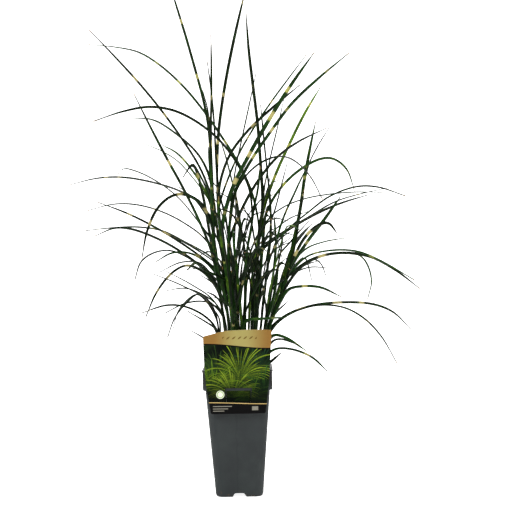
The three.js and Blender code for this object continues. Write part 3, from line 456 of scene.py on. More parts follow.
def move_apart(lines, rounds):
    """Shift the free points in depth, and ease each line a little in all but the last rounds."""
    sizes = [len(l["points"]) for l in lines]
    starts = np.concatenate([[0], np.cumsum(sizes)[:-1]])
    meets = all_meets(lines, starts)
    a, b = meets[:, 0].astype(int), meets[:, 1].astype(int)
    s, t, apart, need = meets[:, 2:].T
    depth = np.concatenate([l["points"][:, 1] for l in lines])
    free = np.concatenate([l["free"] for l in lines])
    after = np.concatenate([start + np.minimum(np.arange(n) + 1, n - 1) for start, n in zip(starts, sizes)])
    before = np.concatenate([start + np.maximum(np.arange(n) - 1, 0) for start, n in zip(starts, sizes)])
    free_one = free[a] * (1 - s) + free[a + 1] * s
    free_two = free[b] * (1 - t) + free[b + 1] * t
    both = free_one + free_two
    movable = both >= HELD
    both = np.where(movable, both, 1)
    room = np.sqrt(need * need - apart * apart)
    shift = np.zeros(len(depth))
    for number in range(rounds):
        y = depth + shift
        near = y[a] + (y[a + 1] - y[a]) * s - y[b] - (y[b + 1] - y[b]) * t
        short = np.where(movable, np.maximum(0, room - abs(near)), 0)
        side = np.where(near < 0, -1, 1)
        forward, back = np.zeros(len(depth)), np.zeros(len(depth))
        for i, share, part, sign in ((a, s, free_one, side), (b, t, free_two, -side)):
            push = sign * short * part / both
            for place, weight in ((i, 1 - share), (i + 1, share)):
                np.maximum.at(back, place, push * np.minimum(1, 2 * weight))
                np.minimum.at(forward, place, push * np.minimum(1, 2 * weight))
        moved = shift + np.where(-forward > back, forward, back)
        easing = EASING if number < rounds * EASED_ROUNDS else 0
        shift = moved * (1 - easing) + (moved[after] + moved[before]) / 2 * easing
        shift[free == 0] = 0
    for line, start, size in zip(lines, starts, sizes):
        line["points"][:, 1] += shift[start:start + size]
    return len(meets)


# %% Sizes of the hidden part, in millimetres
HIDDEN_STEMS = 12
HIDDEN_SEED = 4057
HIDDEN_TRIES = 4000
HIDDEN_BLADE_TRIES = 40
STEM_SPACING = 7.2
CROWN_RADIUS = 33
CROWN_SQUASH = 0.8
TURN_EACH = 2.4
HIDDEN_TOP = (330, 460)
HIDDEN_BENDS = (265, 300, 350)
BEND_ROOM = 20
HIDDEN_RADIUS = (1.9, 2.3)
LOWEST_BLADE = 268
BELOW_TOP = 12
HIDDEN_DEPTH = (80, 170)
SHALLOW_SIDE = 0.55
HIDDEN_SIDEWAYS = (14, 74)
HIDDEN_RISE = (70, 190)
HIDDEN_DROOP = (-10, 60)
DEEP = 120
LESS_DROOP = 0.4
HIDDEN_SEEN = (2, 4)
HIDDEN_ARCH = [(0.3, 0.55), (0.65, 0.95), (1, 1.05)]
FEWEST_BLADES = 3
MORE_BLADES = 1.99


# %% The hidden part of the clump
def fanned_out(root_x, z):
    """How far to the side a stem from this root has come at a height."""
    return CROWN[0] + (root_x - CROWN[0]) * (1 + FAN_PER_MM * (z - SOIL_TOP))


def hidden_stem(between, number):
    turn = number * TURN_EACH + between(-0.5, 0.5)
    reach = CROWN_RADIUS * math.sqrt(between(0.05, 1))
    root = [CROWN[0] + reach * math.cos(turn) * CROWN_SQUASH, CROWN[1] + reach * math.sin(turn)]
    top = between(*HIDDEN_TOP)
    heights = [z for z in HIDDEN_BENDS if z < top - BEND_ROOM] + [top]
    course = [(fanned_out(root[0], z), z) for z in heights]
    return dict(root=root, course=course, radius=between(*HIDDEN_RADIUS))


def hidden_blade(between, stem, share, side):
    leaves_at = LOWEST_BLADE + (stem["course"][-1][1] - BELOW_TOP - LOWEST_BLADE) * share
    out = -1 if stem["root"][1] < CROWN[1] else 1
    depth = out * (SHALLOW_SIDE if side < 0 else 1) * between(*HIDDEN_DEPTH)
    sideways = side * between(*HIDDEN_SIDEWAYS)
    rise = between(*HIDDEN_RISE)
    droop = between(*HIDDEN_DROOP) * (1 if abs(depth) > DEEP else LESS_DROOP)
    x = fanned_out(stem["root"][0], leaves_at)
    seen = between(*HIDDEN_SEEN)
    course = [(x + sideways * across, leaves_at + rise * up) for across, up in HIDDEN_ARCH]
    tip_x, tip_z = course[-1]
    return leaves_at, seen, depth, [*course[:-1], (tip_x, tip_z - droop)]


def is_clear(line, lines):
    """Whether a line keeps clear of all lines of other stems, measured in space."""
    others = [l for l in lines if l["stem"] is not line["stem"]]
    b0 = np.concatenate([l["points"][:-1] for l in others])
    v = np.concatenate([l["points"][1:] for l in others]) - b0
    half = np.concatenate([l["half"][:-1] for l in others])
    vv = np.sum(v * v, axis=1)
    for i in range(len(line["points"]) - 1):
        a0, u = line["points"][i], line["points"][i + 1] - line["points"][i]
        w = a0 - b0
        uu, uv, uw, vw = u @ u, v @ u, w @ u, np.sum(v * w, axis=1)
        spread = uu * vv - uv * uv
        crossing = spread > PARALLEL * uu * vv
        s = np.where(crossing, np.clip((uv * vw - vv * uw) / np.where(crossing, spread, 1), 0, 1), 0)
        t = np.clip((uv * s + vw) / vv, 0, 1)
        s = np.clip((uv * t - uw) / uu, 0, 1)
        apart = np.linalg.norm(w + s[:, None] * u - t[:, None] * v, axis=1)
        if np.any(apart <= line["half"][i] + half + CLEARANCE):
            return False
    return True


def add_hidden(stems, lines):
    """Draw the stems that don't show, each with its blades, until all of them stand clear."""
    between = seeded(HIDDEN_SEED)
    whole = len(stems) + HIDDEN_STEMS
    for _ in range(HIDDEN_TRIES):
        if len(stems) == whole:
            break
        stem = hidden_stem(between, len(stems))
        near = any(math.dist(stem["root"], other["root"]) < STEM_SPACING for other in stems)
        line = stem_line(stem)
        if near or not is_clear(line, lines):
            continue
        stem["line"] = line["points"]
        stems.append(stem)
        lines.append(line)
        count = FEWEST_BLADES + math.floor(between(0, MORE_BLADES))
        for i in range(count):
            for _ in range(HIDDEN_BLADE_TRIES):
                share = (i + between(0.2, 0.8)) / count
                blade = blade_line(stem, hidden_blade(between, stem, share, -1 if i % 2 else 1))
                if is_clear(blade, lines):
                    lines.append(blade)
                    break


# %% Work the whole clump out
stems = list(LEAFY_STEMS)
lines = [stem_line(stem) for stem in stems]
stem_meets = move_apart(lines, STEM_ROUNDS)
for line in lines:
    line["stem"]["line"] = line["points"]
    line["half"] = stem_radius(line["stem"], line["points"][:, 2])
    line["free"] = np.zeros(len(line["points"]))
for stem in stems:
    lines += [blade_line(stem, blade) for blade in stem["blades"]]
blade_meets = move_apart(lines, BLADE_ROUNDS)
add_hidden(stems, lines)
blades = [line for line in lines if "seen" in line]
print("stems:", len(stems), "blades:", len(blades), "near places:", stem_meets, "and", blade_meets)


# %% [markdown]
# The numbers are held against the frame. Every bend of every blade should lie inside its CAD
# strip, so the furthest distance from a bend to the strip's surface is under half a blade.

# %% Compare with the CAD model
def furthest_from_cad():
    """The largest distance in mm between a bend and the surface of its own CAD node."""
    worst = 0
    for number, stem in enumerate(stems, 1):
        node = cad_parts[f"tiller_{number:02d}"].data
        tree = BVHTree.FromPolygons([v.co for v in node.vertices], [p.vertices for p in node.polygons])
        for line in lines:
            if line["stem"] is stem:
                gaps = [tree.find_nearest(Vector(p * MM))[3] / MM for p in line["points"]]
                worst = max(worst, max(gaps))
    return worst


print("furthest bend from its CAD surface in mm:", round(furthest_from_cad(), 2))

# %% [markdown]
# ## From bends to smooth ribbons
#
# A real blade has no corners, so each line is smoothed through its bends and cut into steps a few
# millimetres long, short enough to carry the cream bands. At every step the script stores what the
# ribbon needs there: its centre, the two directions across it, half its width and how far it is
# folded. It also stores what the finish needs: how pale it is, how old, its place along the blade
# and the blade's own tone.

# %% Steps along a line
STEP_LENGTH = 3.4
STEM_STEP_LENGTH = 5.0
SMOOTH_STEPS = 12
FEWEST_POINTS = 6


def even_steps(points, length):
    """Smooth points at even steps, where each lies among the bends, and how far along it is."""
    dense = smooth(points, SMOOTH_STEPS)
    place = np.arange(len(dense)) / SMOOTH_STEPS
    run = np.concatenate([[0], np.cumsum(np.linalg.norm(np.diff(dense, axis=0), axis=1))])
    wanted = np.linspace(0, run[-1], max(FEWEST_POINTS, math.ceil(run[-1] / length) + 1))
    made = np.array([np.interp(wanted, run, dense[:, k]) for k in range(3)]).T
    return made, np.interp(wanted, run, place), wanted


def unit(vectors):
    return vectors / np.linalg.norm(vectors, axis=-1, keepdims=True)


def across_line(points, toward):
    """The level direction across a line and the one square to both, at each of its points."""
    along = unit(np.gradient(points, axis=0))
    level = unit(np.array([-toward[1], toward[0], 0.0]))
    wide = unit(level - along * (along @ level)[:, None])
    return wide, np.cross(along, wide)


# %% Turn a blade so that the right width shows from the front
ROLL_STEPS = 18
TWISTS = (0, 0.5, -0.5, 1, -1)
ROLL_COST = 0.004
TWIST_COST = 0.01


def width_shown(line):
    """The share of a blade's full width that shows from the front."""
    return min(1, (line["seen"] - 0.5 * BLADE_THICK) / blade_width(line["seen"], TAPER_FROM))


def face_shown(wide, along):
    """The share of a ribbon's width that shows from the front, at each of its points."""
    return abs(wide[:, 2] * along[:, 0] - wide[:, 0] * along[:, 2]) / np.hypot(along[:, 0], along[:, 2])


def blade_turn(line):
    """The roll and twist that bring the width that shows nearest to the one read, all along."""
    points = line["points"]
    order = np.arange(len(points))
    along = unit(points[np.minimum(order + 1, order[-1])] - points[np.maximum(order - 1, 0)])
    level = unit(np.array([points[0][1] - points[-1][1], points[-1][0] - points[0][0], 0.0]))
    wide = unit(level - along * (along @ level)[:, None])
    face = np.cross(along, wide)
    wanted = width_shown(line)
    best = (math.inf, 0, 0)
    for twist in TWISTS:
        for roll in np.arange(-ROLL_STEPS, ROLL_STEPS) * math.pi / 2 / ROLL_STEPS:
            turn = (roll + twist * (order / order[-1] - 0.5))[:, None]
            turned = wide * np.cos(turn) + face * np.sin(turn)
            cost = np.mean((face_shown(turned, along)[HELD_POINTS:] - wanted) ** 2)
            cost += ROLL_COST * abs(roll) + TWIST_COST * abs(twist)
            best = min(best, (cost, roll, twist))
    return best[1:]


# %% [markdown]
# ## The cream bands
#
# The zebra's stripes cross the blade every few centimetres and each is about a centimetre long.
# They are drawn from a seed, and are weaker on a blade that shows its edge. Where the photograph
# shows a band on a blade in front, its place is in a list, read off as the blades are. A band goes
# there, and drawn ones that are close to it go out.

# %% Bands along each blade
BAND_SEED = 90210
BAND_EVERY = (75, 175)
BAND_LENGTH = (6, 13)
BAND_EDGE = 1.8
BAND_STRENGTH = (0.15, 0.8)
FIRST_BAND = (50, 120)
LAST_BAND = 0.93
WIDE_AT_ROOT = 1.25
CLOSER_AT_TIP = 0.5
FULL_FACE = 5.5
SEEN_STRENGTH = 0.9
SEEN_FADE = 1.5
SEEN_LONGER = 1
BAND_REACH = 6
BAND_ROOM = 26
BANDS_SEEN = [
    (-58, 672), (-83, 760), (-37, 562), (-156, 670), (-110, 610), (-85, 664), (-40, 606), (-12, 566),
    (-104, 534), (-81, 537), (-68, 518), (-60, 510), (-48, 455), (-59, 513), (-208, 512), (-88, 484),
    (-138, 436), (-171, 452), (-62, 383), (-112, 420), (-132, 426), (-109, 352), (-128, 326),
    (-27, 566), (-26, 537), (-28, 510), (-8, 457), (-13, 498), (24, 571), (63, 631), (33, 593),
    (3, 503), (26, 545), (47, 585), (60, 605), (88, 648), (32, 543), (60, 584), (64, 508), (88, 559),
    (112, 609), (123, 626), (121, 438), (93, 428), (120, 418), (98, 386), (130, 385), (140, 380),
    (88, 328), (112, 332), (104, 296), (161, 303), (202, 301), (111, 220),
]


def from_front(points):
    """The x and z where points show from the front, as in the lists above."""
    eye_x, eye_z, distance = SIGHT
    k = distance / (distance + points[:, 1])
    return np.array([eye_x + (points[:, 0] - eye_x) * k, eye_z + (points[:, 2] - eye_z) * k]).T


def nearest_blade(fine_blades, spot):
    """The blade that shows nearest to a spot, how near, and how far along the blade that is."""
    shown = [np.linalg.norm(from_front(blade["points"]) - spot, axis=1) for blade in fine_blades]
    nearest = int(np.argmin([np.min(gaps) for gaps in shown]))
    step = int(np.argmin(shown[nearest]))
    blade = fine_blades[nearest]
    return blade, shown[nearest][step], blade["run"][step]


def face_share(blade):
    """From 0 to 1, how much of its face a blade turns to the front."""
    return min(1, blade["seen"] / FULL_FACE)


def place_bands(fine_blades):
    """Give each blade its bands as (middle, half length, strength), in millimetres along it."""
    between = seeded(BAND_SEED)
    for blade in fine_blades:
        whole = blade["run"][-1]
        middle = between(*FIRST_BAND)
        own = []
        while middle < whole * LAST_BAND:
            half = between(*BAND_LENGTH) / 2
            own.append((middle, half, face_share(blade) * between(*BAND_STRENGTH)))
            middle += between(*BAND_EVERY) * (WIDE_AT_ROOT - CLOSER_AT_TIP * middle / whole)
        blade["bands"] = own
    for spot in BANDS_SEEN:
        blade, gap, at = nearest_blade(fine_blades, spot)
        if gap < BAND_REACH:
            others = [band for band in blade["bands"] if abs(band[0] - at) > BAND_ROOM]
            half = between(*BAND_LENGTH) / 2 + SEEN_LONGER
            blade["bands"] = [*others, (at, half, SEEN_STRENGTH * face_share(blade) ** SEEN_FADE)]


def paleness(run, bands):
    """From 0, green, to 1 in the middle of a band, with a short soft edge."""
    pale = np.zeros(len(run))
    for middle, half, strength in bands:
        edge = (half - abs(run - middle)) / BAND_EDGE
        pale = np.maximum(pale, strength * np.clip(0.5 + edge, 0, 1))
    return pale


# %% [markdown]
# A camera loses a ribbon that turns its edge to it, where the photograph still shows a thin line.
# So a fine blade tapers later than its CAD strip, and is a little wider wherever less of it would
# show than was read. Folds are deep at the root and shallow further out.

# %% Every blade as smooth steps
FINE_TAPER_POWER = 5.0
FINE_TIP_WIDTH = 1.5
TIP_HALF = 0.12
MOST_WIDENED = 1.45
LEAST_SHOWN = 0.6
LEAST_FACE = 0.05
FOLD_AT_ROOT = 0.75
FOLD_OUT = 0.32
FOLD_FADE = 45
TONE_SEED = 31
BRIGHTEST_BLADE = 0.5
BLADE_TONE_POWER = 3
TONES_SEEN = [
    ((5, 300), 0.45), ((112, 604), 0.85), ((150, 539), 0.55), ((-94, 549), 0.6), ((-50, 483), 0.6),
    ((39, 278), 0.45), ((108, 459), 0.6), ((105, 383), 0.55), ((146, 385), 0.5), ((188, 378), 0.45),
    ((60, 580), 0.35), ((99, 424), 0.6), ((57, 304), 0.5), ((-3, 398), 0.5),
]


def fine_blade(line):
    """A blade's smooth steps, with its upper face turned up and all that the ribbon needs."""
    points, place, run = even_steps(line["points"], STEP_LENGTH)
    share = place / (len(line["points"]) - 1)
    wide, face = across_line(points, line["points"][-1] - line["points"][0])
    roll, twist = blade_turn(line)
    turn = (roll + twist * (share - 0.5))[:, None]
    turned = wide * np.cos(turn) + face * np.sin(turn)
    upper = face * np.cos(turn) - wide * np.sin(turn)
    if upper[len(upper) // 3][2] < 0:
        turned, upper = -turned, -upper
    fold = FOLD_OUT + (FOLD_AT_ROOT - FOLD_OUT) * np.exp(-run / FOLD_FADE)
    half = blade_width(line["seen"], share, FINE_TAPER_POWER) / 2
    half = np.maximum(half, FINE_TIP_WIDTH / 2 / max(LEAST_SHOWN, width_shown(line)))
    shown = np.maximum(face_shown(turned, unit(np.gradient(points, axis=0))), LEAST_FACE)
    half *= np.clip(width_shown(line) / shown, 1, MOST_WIDENED)
    half[-1] = TIP_HALF
    return dict(stem=line["stem"], seen=line["seen"], points=points, wide=turned, upper=upper, half=half,
                fold=fold, run=run, along=run / run[-1], old=0.0)


fine_blades = [fine_blade(line) for line in blades]
between = seeded(TONE_SEED)
place_bands(fine_blades)
for blade in fine_blades:
    blade["pale"] = paleness(blade["run"], blade["bands"])
    blade["tone"] = BRIGHTEST_BLADE * between(0, 1) ** BLADE_TONE_POWER * face_share(blade)
for spot, tone in TONES_SEEN:
    nearest_blade(fine_blades, spot)[0]["tone"] = tone
print("steps along the blades:", sum(len(blade["points"]) for blade in fine_blades))

# %% [markdown]
# Each stem is wrapped in the sheaths of its leaves. A sheath swells a little towards the place
# where its blade leaves, ends there in a collar, and the next one comes out of it. Near the soil
# the oldest sheaths have dried to brown husks.

# %% Every stem as smooth steps
SHEATH_LENGTH = 46
SHEATH_SWELL = 0.5
COLLAR = 2.5
COLLAR_PALE = 0.65
STEM_TIP = 14
STEM_TIP_SHARE = 0.25
OLD_SHEATHS = 232
OLD_FADE = 40
DARKEST_STEM = 0.04
STEM_TONES = 0.85


def fine_stem(line):
    """A stem's smooth steps, with the swell, collar and age of its sheaths."""
    stem = line["stem"]
    points, _, run = even_steps(line["points"], STEM_STEP_LENGTH)
    leaving = [blade["points"][0][2] + BLADE_ROOT for blade in fine_blades if blade["stem"] is stem]
    swell = np.zeros(len(points))
    collar = np.zeros(len(points))
    for height in leaving:
        below = height - points[:, 2]
        inside = (below > 0) & (below < SHEATH_LENGTH)
        swell = np.maximum(swell, np.where(inside, 1 - below / SHEATH_LENGTH, 0))
        collar = np.maximum(collar, np.clip(1 - abs(below) / COLLAR, 0, 1))
    end = np.clip((run[-1] - run) / STEM_TIP, 0, 1)
    half = stem_radius(stem, points[:, 2]) + SHEATH_SWELL * swell
    half *= STEM_TIP_SHARE + (1 - STEM_TIP_SHARE) * np.sqrt(end)
    wide, upper = across_line(points, np.array([0.0, -1.0, 0.0]))
    return dict(stem=stem, points=points, wide=wide, upper=upper, half=half, fold=np.zeros(len(points)),
                run=run, along=run / run[-1], pale=COLLAR_PALE * collar,
                old=np.clip((OLD_SHEATHS - points[:, 2]) / OLD_FADE, 0, 1))


fine_stems = [fine_stem(line) for line in lines if "seen" not in line]
for stem in fine_stems:
    stem["tone"] = DARKEST_STEM + STEM_TONES * between(0, 1) ** 2
print("steps along the stems:", sum(len(stem["points"]) for stem in fine_stems))

# %% [markdown]
# ## Shader groups
#
# Two effects come back more than once, so each is a node group with its own inputs. Grain is a
# noise that every finish uses, coarse for blotches and fine for the feel of the surface. It puts
# out a value for the colour and roughness, and a normal. The other group comes with the tag.

# %% Helpers for node trees
def socket(tree, name, kind, default=None, out=False):
    """A named input of a node group, or an output."""
    made = tree.interface.new_socket(name=name, in_out="OUTPUT" if out else "INPUT", socket_type=kind)
    if default is not None:
        made.default_value = default
    return made


def add(tree, kind, inputs=(), **settings):
    """A new node with its settings, and inputs given as numbers, colours or other sockets."""
    node = tree.nodes.new(kind)
    for name, value in settings.items():
        setattr(node, name, value)
    for place, value in dict(inputs).items():
        if isinstance(value, bpy.types.NodeSocket):
            tree.links.new(value, node.inputs[place])
        else:
            node.inputs[place].default_value = value
    return node


def maths(tree, operation, *values):
    return add(tree, "ShaderNodeMath", dict(enumerate(values)), operation=operation).outputs[0]


def times(tree, *values):
    """All the values multiplied together, from the first to the last."""
    whole = values[0]
    for value in values[1:]:
        whole = maths(tree, "MULTIPLY", whole, value)
    return whole


def blend_colours(tree, factor, first, second):
    inputs = {"Factor": factor, 6: first, 7: second}
    return add(tree, "ShaderNodeMix", inputs, data_type="RGBA").outputs[2]


def ramp_between(tree, value, low, high, to_low=0.0, to_high=1.0, smooth_step=True):
    """A value that goes from to_low to to_high while another goes from low to high."""
    kind = "SMOOTHSTEP" if smooth_step else "LINEAR"
    inputs = {"Value": value, "From Min": low, "From Max": high, "To Min": to_low, "To Max": to_high}
    return add(tree, "ShaderNodeMapRange", inputs, interpolation_type=kind).outputs[0]


def srgb(red, green, blue):
    """A colour given as it looks on screen, from 0 to 255, as Blender's linear colour."""
    parts = [v / 255 for v in (red, green, blue)]
    return (*[v / 12.92 if v <= 0.04045 else ((v + 0.055) / 1.055) ** 2.4 for v in parts], 1.0)


# %% Shader group: grain
def grain_group():
    tree = bpy.data.node_groups.new("grain", "ShaderNodeTree")
    socket(tree, "Scale", "NodeSocketFloat", 900.0)
    socket(tree, "Height", "NodeSocketFloat", 0.2)
    socket(tree, "Value", "NodeSocketFloat", out=True)
    socket(tree, "Normal", "NodeSocketVector", out=True)
    given = add(tree, "NodeGroupInput").outputs
    place = add(tree, "ShaderNodeTexCoord").outputs["Object"]
    inputs = {"Vector": place, "Scale": given["Scale"], "Detail": 4.0, "Roughness": 0.6}
    noise = add(tree, "ShaderNodeTexNoise", inputs).outputs[0]
    bump = add(tree, "ShaderNodeBump", {"Strength": given["Height"], "Distance": 0.0004, "Height": noise})
    add(tree, "NodeGroupOutput", {"Value": noise, "Normal": bump.outputs[0]})
    return tree


GRAIN = grain_group()


def grain(tree, scale, height=0.0):
    inputs = {"Scale": scale, "Height": height}
    return add(tree, "ShaderNodeGroup", inputs, node_tree=GRAIN).outputs


def new_material(name):
    material = bpy.data.materials.new(name)
    material.use_nodes = True
    return material, material.node_tree, material.node_tree.nodes["Principled BSDF"]


# %% [markdown]
# ## Grass finish
#
# The blades are dark green, almost black in the shade, and a few are bright. The finish reads what
# was stored along the ribbon: tone picks the green, pale lays the cream bands with a ragged edge,
# old turns a sheath to brown husk, and the place across the blade draws the midrib and the fine
# veins that run along it. The very tip is dry.

# %% Grass material
GRASS_COLOURS = dict(
    deep=srgb(8, 20, 4),
    leaf=srgb(22, 56, 11),
    bright=srgb(92, 126, 26),
    rib=srgb(92, 122, 56),
    cream=srgb(186, 174, 116),
    lime=srgb(166, 172, 78),
    dry=srgb(150, 118, 74),
    husk=srgb(66, 48, 28),
)
RIB_STRENGTH = 0.25
HUSK_STRENGTH = 0.75
VEIN_TURNS = 42.0


def attribute(tree, name):
    return add(tree, "ShaderNodeAttribute", attribute_name=name).outputs["Fac"]


def grass_material():
    material, tree, shader = new_material("banded_grass")
    tints = GRASS_COLOURS
    pale, tone, along, across, old = (
        attribute(tree, name) for name in ("pale", "tone", "along", "across", "old"))
    blotch = grain(tree, 60.0)["Value"]
    fine = grain(tree, 420.0)["Value"]

    shade = maths(tree, "ADD", tone, ramp_between(tree, blotch, 0.35, 0.7, -0.16, 0.2))
    green = blend_colours(tree, ramp_between(tree, shade, 0.0, 0.5), tints["deep"], tints["leaf"])
    green = blend_colours(tree, ramp_between(tree, shade, 0.5, 1.0), green, tints["bright"])
    rib = ramp_between(tree, maths(tree, "ABSOLUTE", across), 0.12, 0.03)
    green = blend_colours(tree, times(tree, rib, RIB_STRENGTH), green, tints["rib"])

    ragged = times(tree, pale, ramp_between(tree, fine, 0.3, 0.7, 0.7, 1.3))
    cream = blend_colours(tree, ramp_between(tree, shade, 0.1, 0.7), tints["cream"], tints["lime"])
    coloured = blend_colours(tree, ramp_between(tree, ragged, 0.12, 0.85), green, cream)

    near_tip = maths(tree, "ADD", along, times(tree, blotch, 0.04))
    coloured = blend_colours(tree, ramp_between(tree, near_tip, 0.99, 1.02), coloured, tints["dry"])
    worn = maths(tree, "ADD", old, ramp_between(tree, fine, 0.3, 0.7, -0.3, 0.3))
    husk = ramp_between(tree, worn, 0.45, 0.7)
    coloured = blend_colours(tree, times(tree, husk, HUSK_STRENGTH), coloured, tints["husk"])
    tree.links.new(coloured, shader.inputs["Base Color"])

    veins = maths(tree, "SINE", times(tree, across, VEIN_TURNS))
    bump = add(tree, "ShaderNodeBump", {"Strength": 0.35, "Distance": 0.00015, "Height": veins})
    tree.links.new(bump.outputs[0], shader.inputs["Normal"])
    tree.links.new(ramp_between(tree, fine, 0.3, 0.7, 0.45, 0.65), shader.inputs["Roughness"])
    shader.inputs["Specular IOR Level"].default_value = 0.1
    return material


GRASS = grass_material()

# %% [markdown]
# ## Ribbons by geometry nodes
#
# One tree makes both stems and blades. It takes the lines as loose edges that carry the stored
# directions, runs a small eight-sided section along them, and then puts each point of the ribbon
# where the stored centre and directions say. On a blade the section is bent into a shallow V with
# a keel under its midrib. On a stem it stays round.

# %% Tree: ribbons along lines
SECTION_SIDES = 8
FOLD_MIDDLE = 0.5
KEEL_POWER = 6.0
UNFOLDED = 0.001


def ribbon_tree():
    tree = bpy.data.node_groups.new("ribbons_along_lines", "GeometryNodeTree")
    socket(tree, "Lines", "NodeSocketGeometry")
    socket(tree, "Thickness", "NodeSocketFloat", 0.09)
    socket(tree, "Keel", "NodeSocketFloat", 0.14)
    socket(tree, "Finish", "NodeSocketMaterial")
    socket(tree, "Ribbons", "NodeSocketGeometry", out=True)
    given = add(tree, "NodeGroupInput").outputs

    def stored(name, kind="FLOAT"):
        return add(tree, "GeometryNodeInputNamedAttribute", {"Name": name}, data_type=kind).outputs[0]

    inputs = {"Resolution": SECTION_SIDES, "Radius": 1.0}
    section = add(tree, "GeometryNodeCurvePrimitiveCircle", inputs).outputs[0]
    position = add(tree, "GeometryNodeInputPosition").outputs[0]
    place = add(tree, "ShaderNodeSeparateXYZ", {0: position}).outputs
    for name, value in (("across", place[0]), ("above", place[1])):
        inputs = {"Geometry": section, "Name": name, "Value": value}
        section = add(tree, "GeometryNodeStoreNamedAttribute", inputs, data_type="FLOAT").outputs[0]
    curves = add(tree, "GeometryNodeMeshToCurve", {0: given["Lines"]}).outputs[0]
    inputs = {"Curve": curves, "Profile Curve": section, "Scale": MM, "Fill Caps": True}
    tube = add(tree, "GeometryNodeCurveToMesh", inputs).outputs[0]
    across, above, fold = stored("across"), stored("above"), stored("fold")
    bent = times(tree, fold, maths(tree, "SUBTRACT", maths(tree, "ABSOLUTE", across), FOLD_MIDDLE))
    under = maths(tree, "POWER", maths(tree, "MAXIMUM", times(tree, above, -1.0), 0.0), KEEL_POWER)
    keel = times(tree, under, given["Keel"])
    thick = times(tree, above, given["Thickness"])
    blade_rise = maths(tree, "SUBTRACT", maths(tree, "ADD", bent, thick), keel)
    is_stem = maths(tree, "LESS_THAN", fold, UNFOLDED)
    inputs = {"Factor": is_stem, 2: blade_rise, 3: above}
    rise = add(tree, "ShaderNodeMix", inputs, data_type="FLOAT").outputs[0]
    place = stored("centre", "FLOAT_VECTOR")
    for direction, amount in (("wide", across), ("upper", rise)):
        inputs = {0: stored(direction, "FLOAT_VECTOR"), "Scale": times(tree, amount, stored("half"))}
        offset = add(tree, "ShaderNodeVectorMath", inputs, operation="SCALE").outputs[0]
        place = add(tree, "ShaderNodeVectorMath", {0: place, 1: offset}, operation="ADD").outputs[0]
    ribbons = add(tree, "GeometryNodeSetPosition", {"Geometry": tube, "Position": place}).outputs[0]
    ribbons = add(tree, "GeometryNodeSetShadeSmooth", {"Geometry": ribbons}).outputs[0]
    ribbons = add(tree, "GeometryNodeRealizeInstances", {"Geometry": ribbons}).outputs[0]
    painted = add(tree, "GeometryNodeSetMaterial", {"Geometry": ribbons, "Material": given["Finish"]})
    add(tree, "NodeGroupOutput", {"Ribbons": painted.outputs[0]})
    return tree


# %% Helpers: lines with stored values, and a modifier's result as a plain mesh
def lines_mesh(name, shapes):
    """Loose edges in metres, with every stored value as a point attribute."""
    mesh = bpy.data.meshes.new(name)
    sizes = [len(shape["points"]) for shape in shapes]
    starts = np.concatenate([[0], np.cumsum(sizes)[:-1]])
    edges = [(i, i + 1) for start, n in zip(starts, sizes) for i in range(start, start + n - 1)]
    points = np.concatenate([shape["points"] for shape in shapes]) * MM
    mesh.from_pydata(points.tolist(), edges, [])
    vectors = dict(centre=points)
    for key in ("wide", "upper"):
        vectors[key] = np.concatenate([shape[key] for shape in shapes])
    for key, values in vectors.items():
        mesh.attributes.new(key, "FLOAT_VECTOR", "POINT").data.foreach_set("vector", values.ravel())
    for key, unit_size in (("half", MM), ("fold", 1), ("pale", 1), ("tone", 1), ("along", 1), ("old", 1)):
        values = np.concatenate([np.broadcast_to(shape[key], n) for shape, n in zip(shapes, sizes)])
        mesh.attributes.new(key, "FLOAT", "POINT").data.foreach_set("value", values * unit_size)
    return mesh


def object_of(mesh):
    made = bpy.data.objects.new(mesh.name, mesh)
    bpy.context.scene.collection.objects.link(made)
    return made


def make_plain(piece):
    """Put what the piece's modifiers make in place of its mesh, and take them away."""
    made = bpy.data.meshes.new_from_object(piece.evaluated_get(bpy.context.evaluated_depsgraph_get()))
    made.name = piece.data.name
    piece.modifiers.clear()
    piece.data = made


def run_tree(mesh, tree, finish):
    """A new object whose plain mesh is what the tree makes of the given mesh."""
    piece = object_of(mesh)
    modifier = piece.modifiers.new("nodes", "NODES")
    modifier.node_group = tree
    sockets = {item.name: item.identifier for item in tree.interface.items_tree if item.in_out == "INPUT"}
    modifier[sockets["Finish"]] = finish
    make_plain(piece)
    return piece


def triangles(mesh):
    mesh.calc_loop_triangles()
    return len(mesh.loop_triangles)


# %% Make the leafy stems
SHARP_ANGLE = math.radians(58)
SPENT_VALUES = ("centre", "wide", "upper", "half", "fold", "above")

RIBBONS = ribbon_tree()
grass_triangles = 0
for number, stem in enumerate(stems, 1):
    shapes = [shape for shape in fine_stems + fine_blades if shape["stem"] is stem]
    piece = run_tree(lines_mesh(f"leafy_stem_{number:02d}", shapes), RIBBONS, GRASS)
    piece.data.set_sharp_from_angle(angle=SHARP_ANGLE)
    for spent in SPENT_VALUES:
        piece.data.attributes.remove(piece.data.attributes[spent])
    grass_triangles += triangles(piece.data)
    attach(piece, "root")
    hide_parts(f"tiller_{number:02d}")
print("triangles of the grass:", grass_triangles)

# %% [markdown]
# ## The pot
#
# The pot is one moulding: a rounded foot, a tapered wall and a rim turned down as a skirt. Its
# outline is run round a square with round corners, and every edge of the outline is softened
# first. Notches in the foot and drain holes in the floor are cut out of the result.

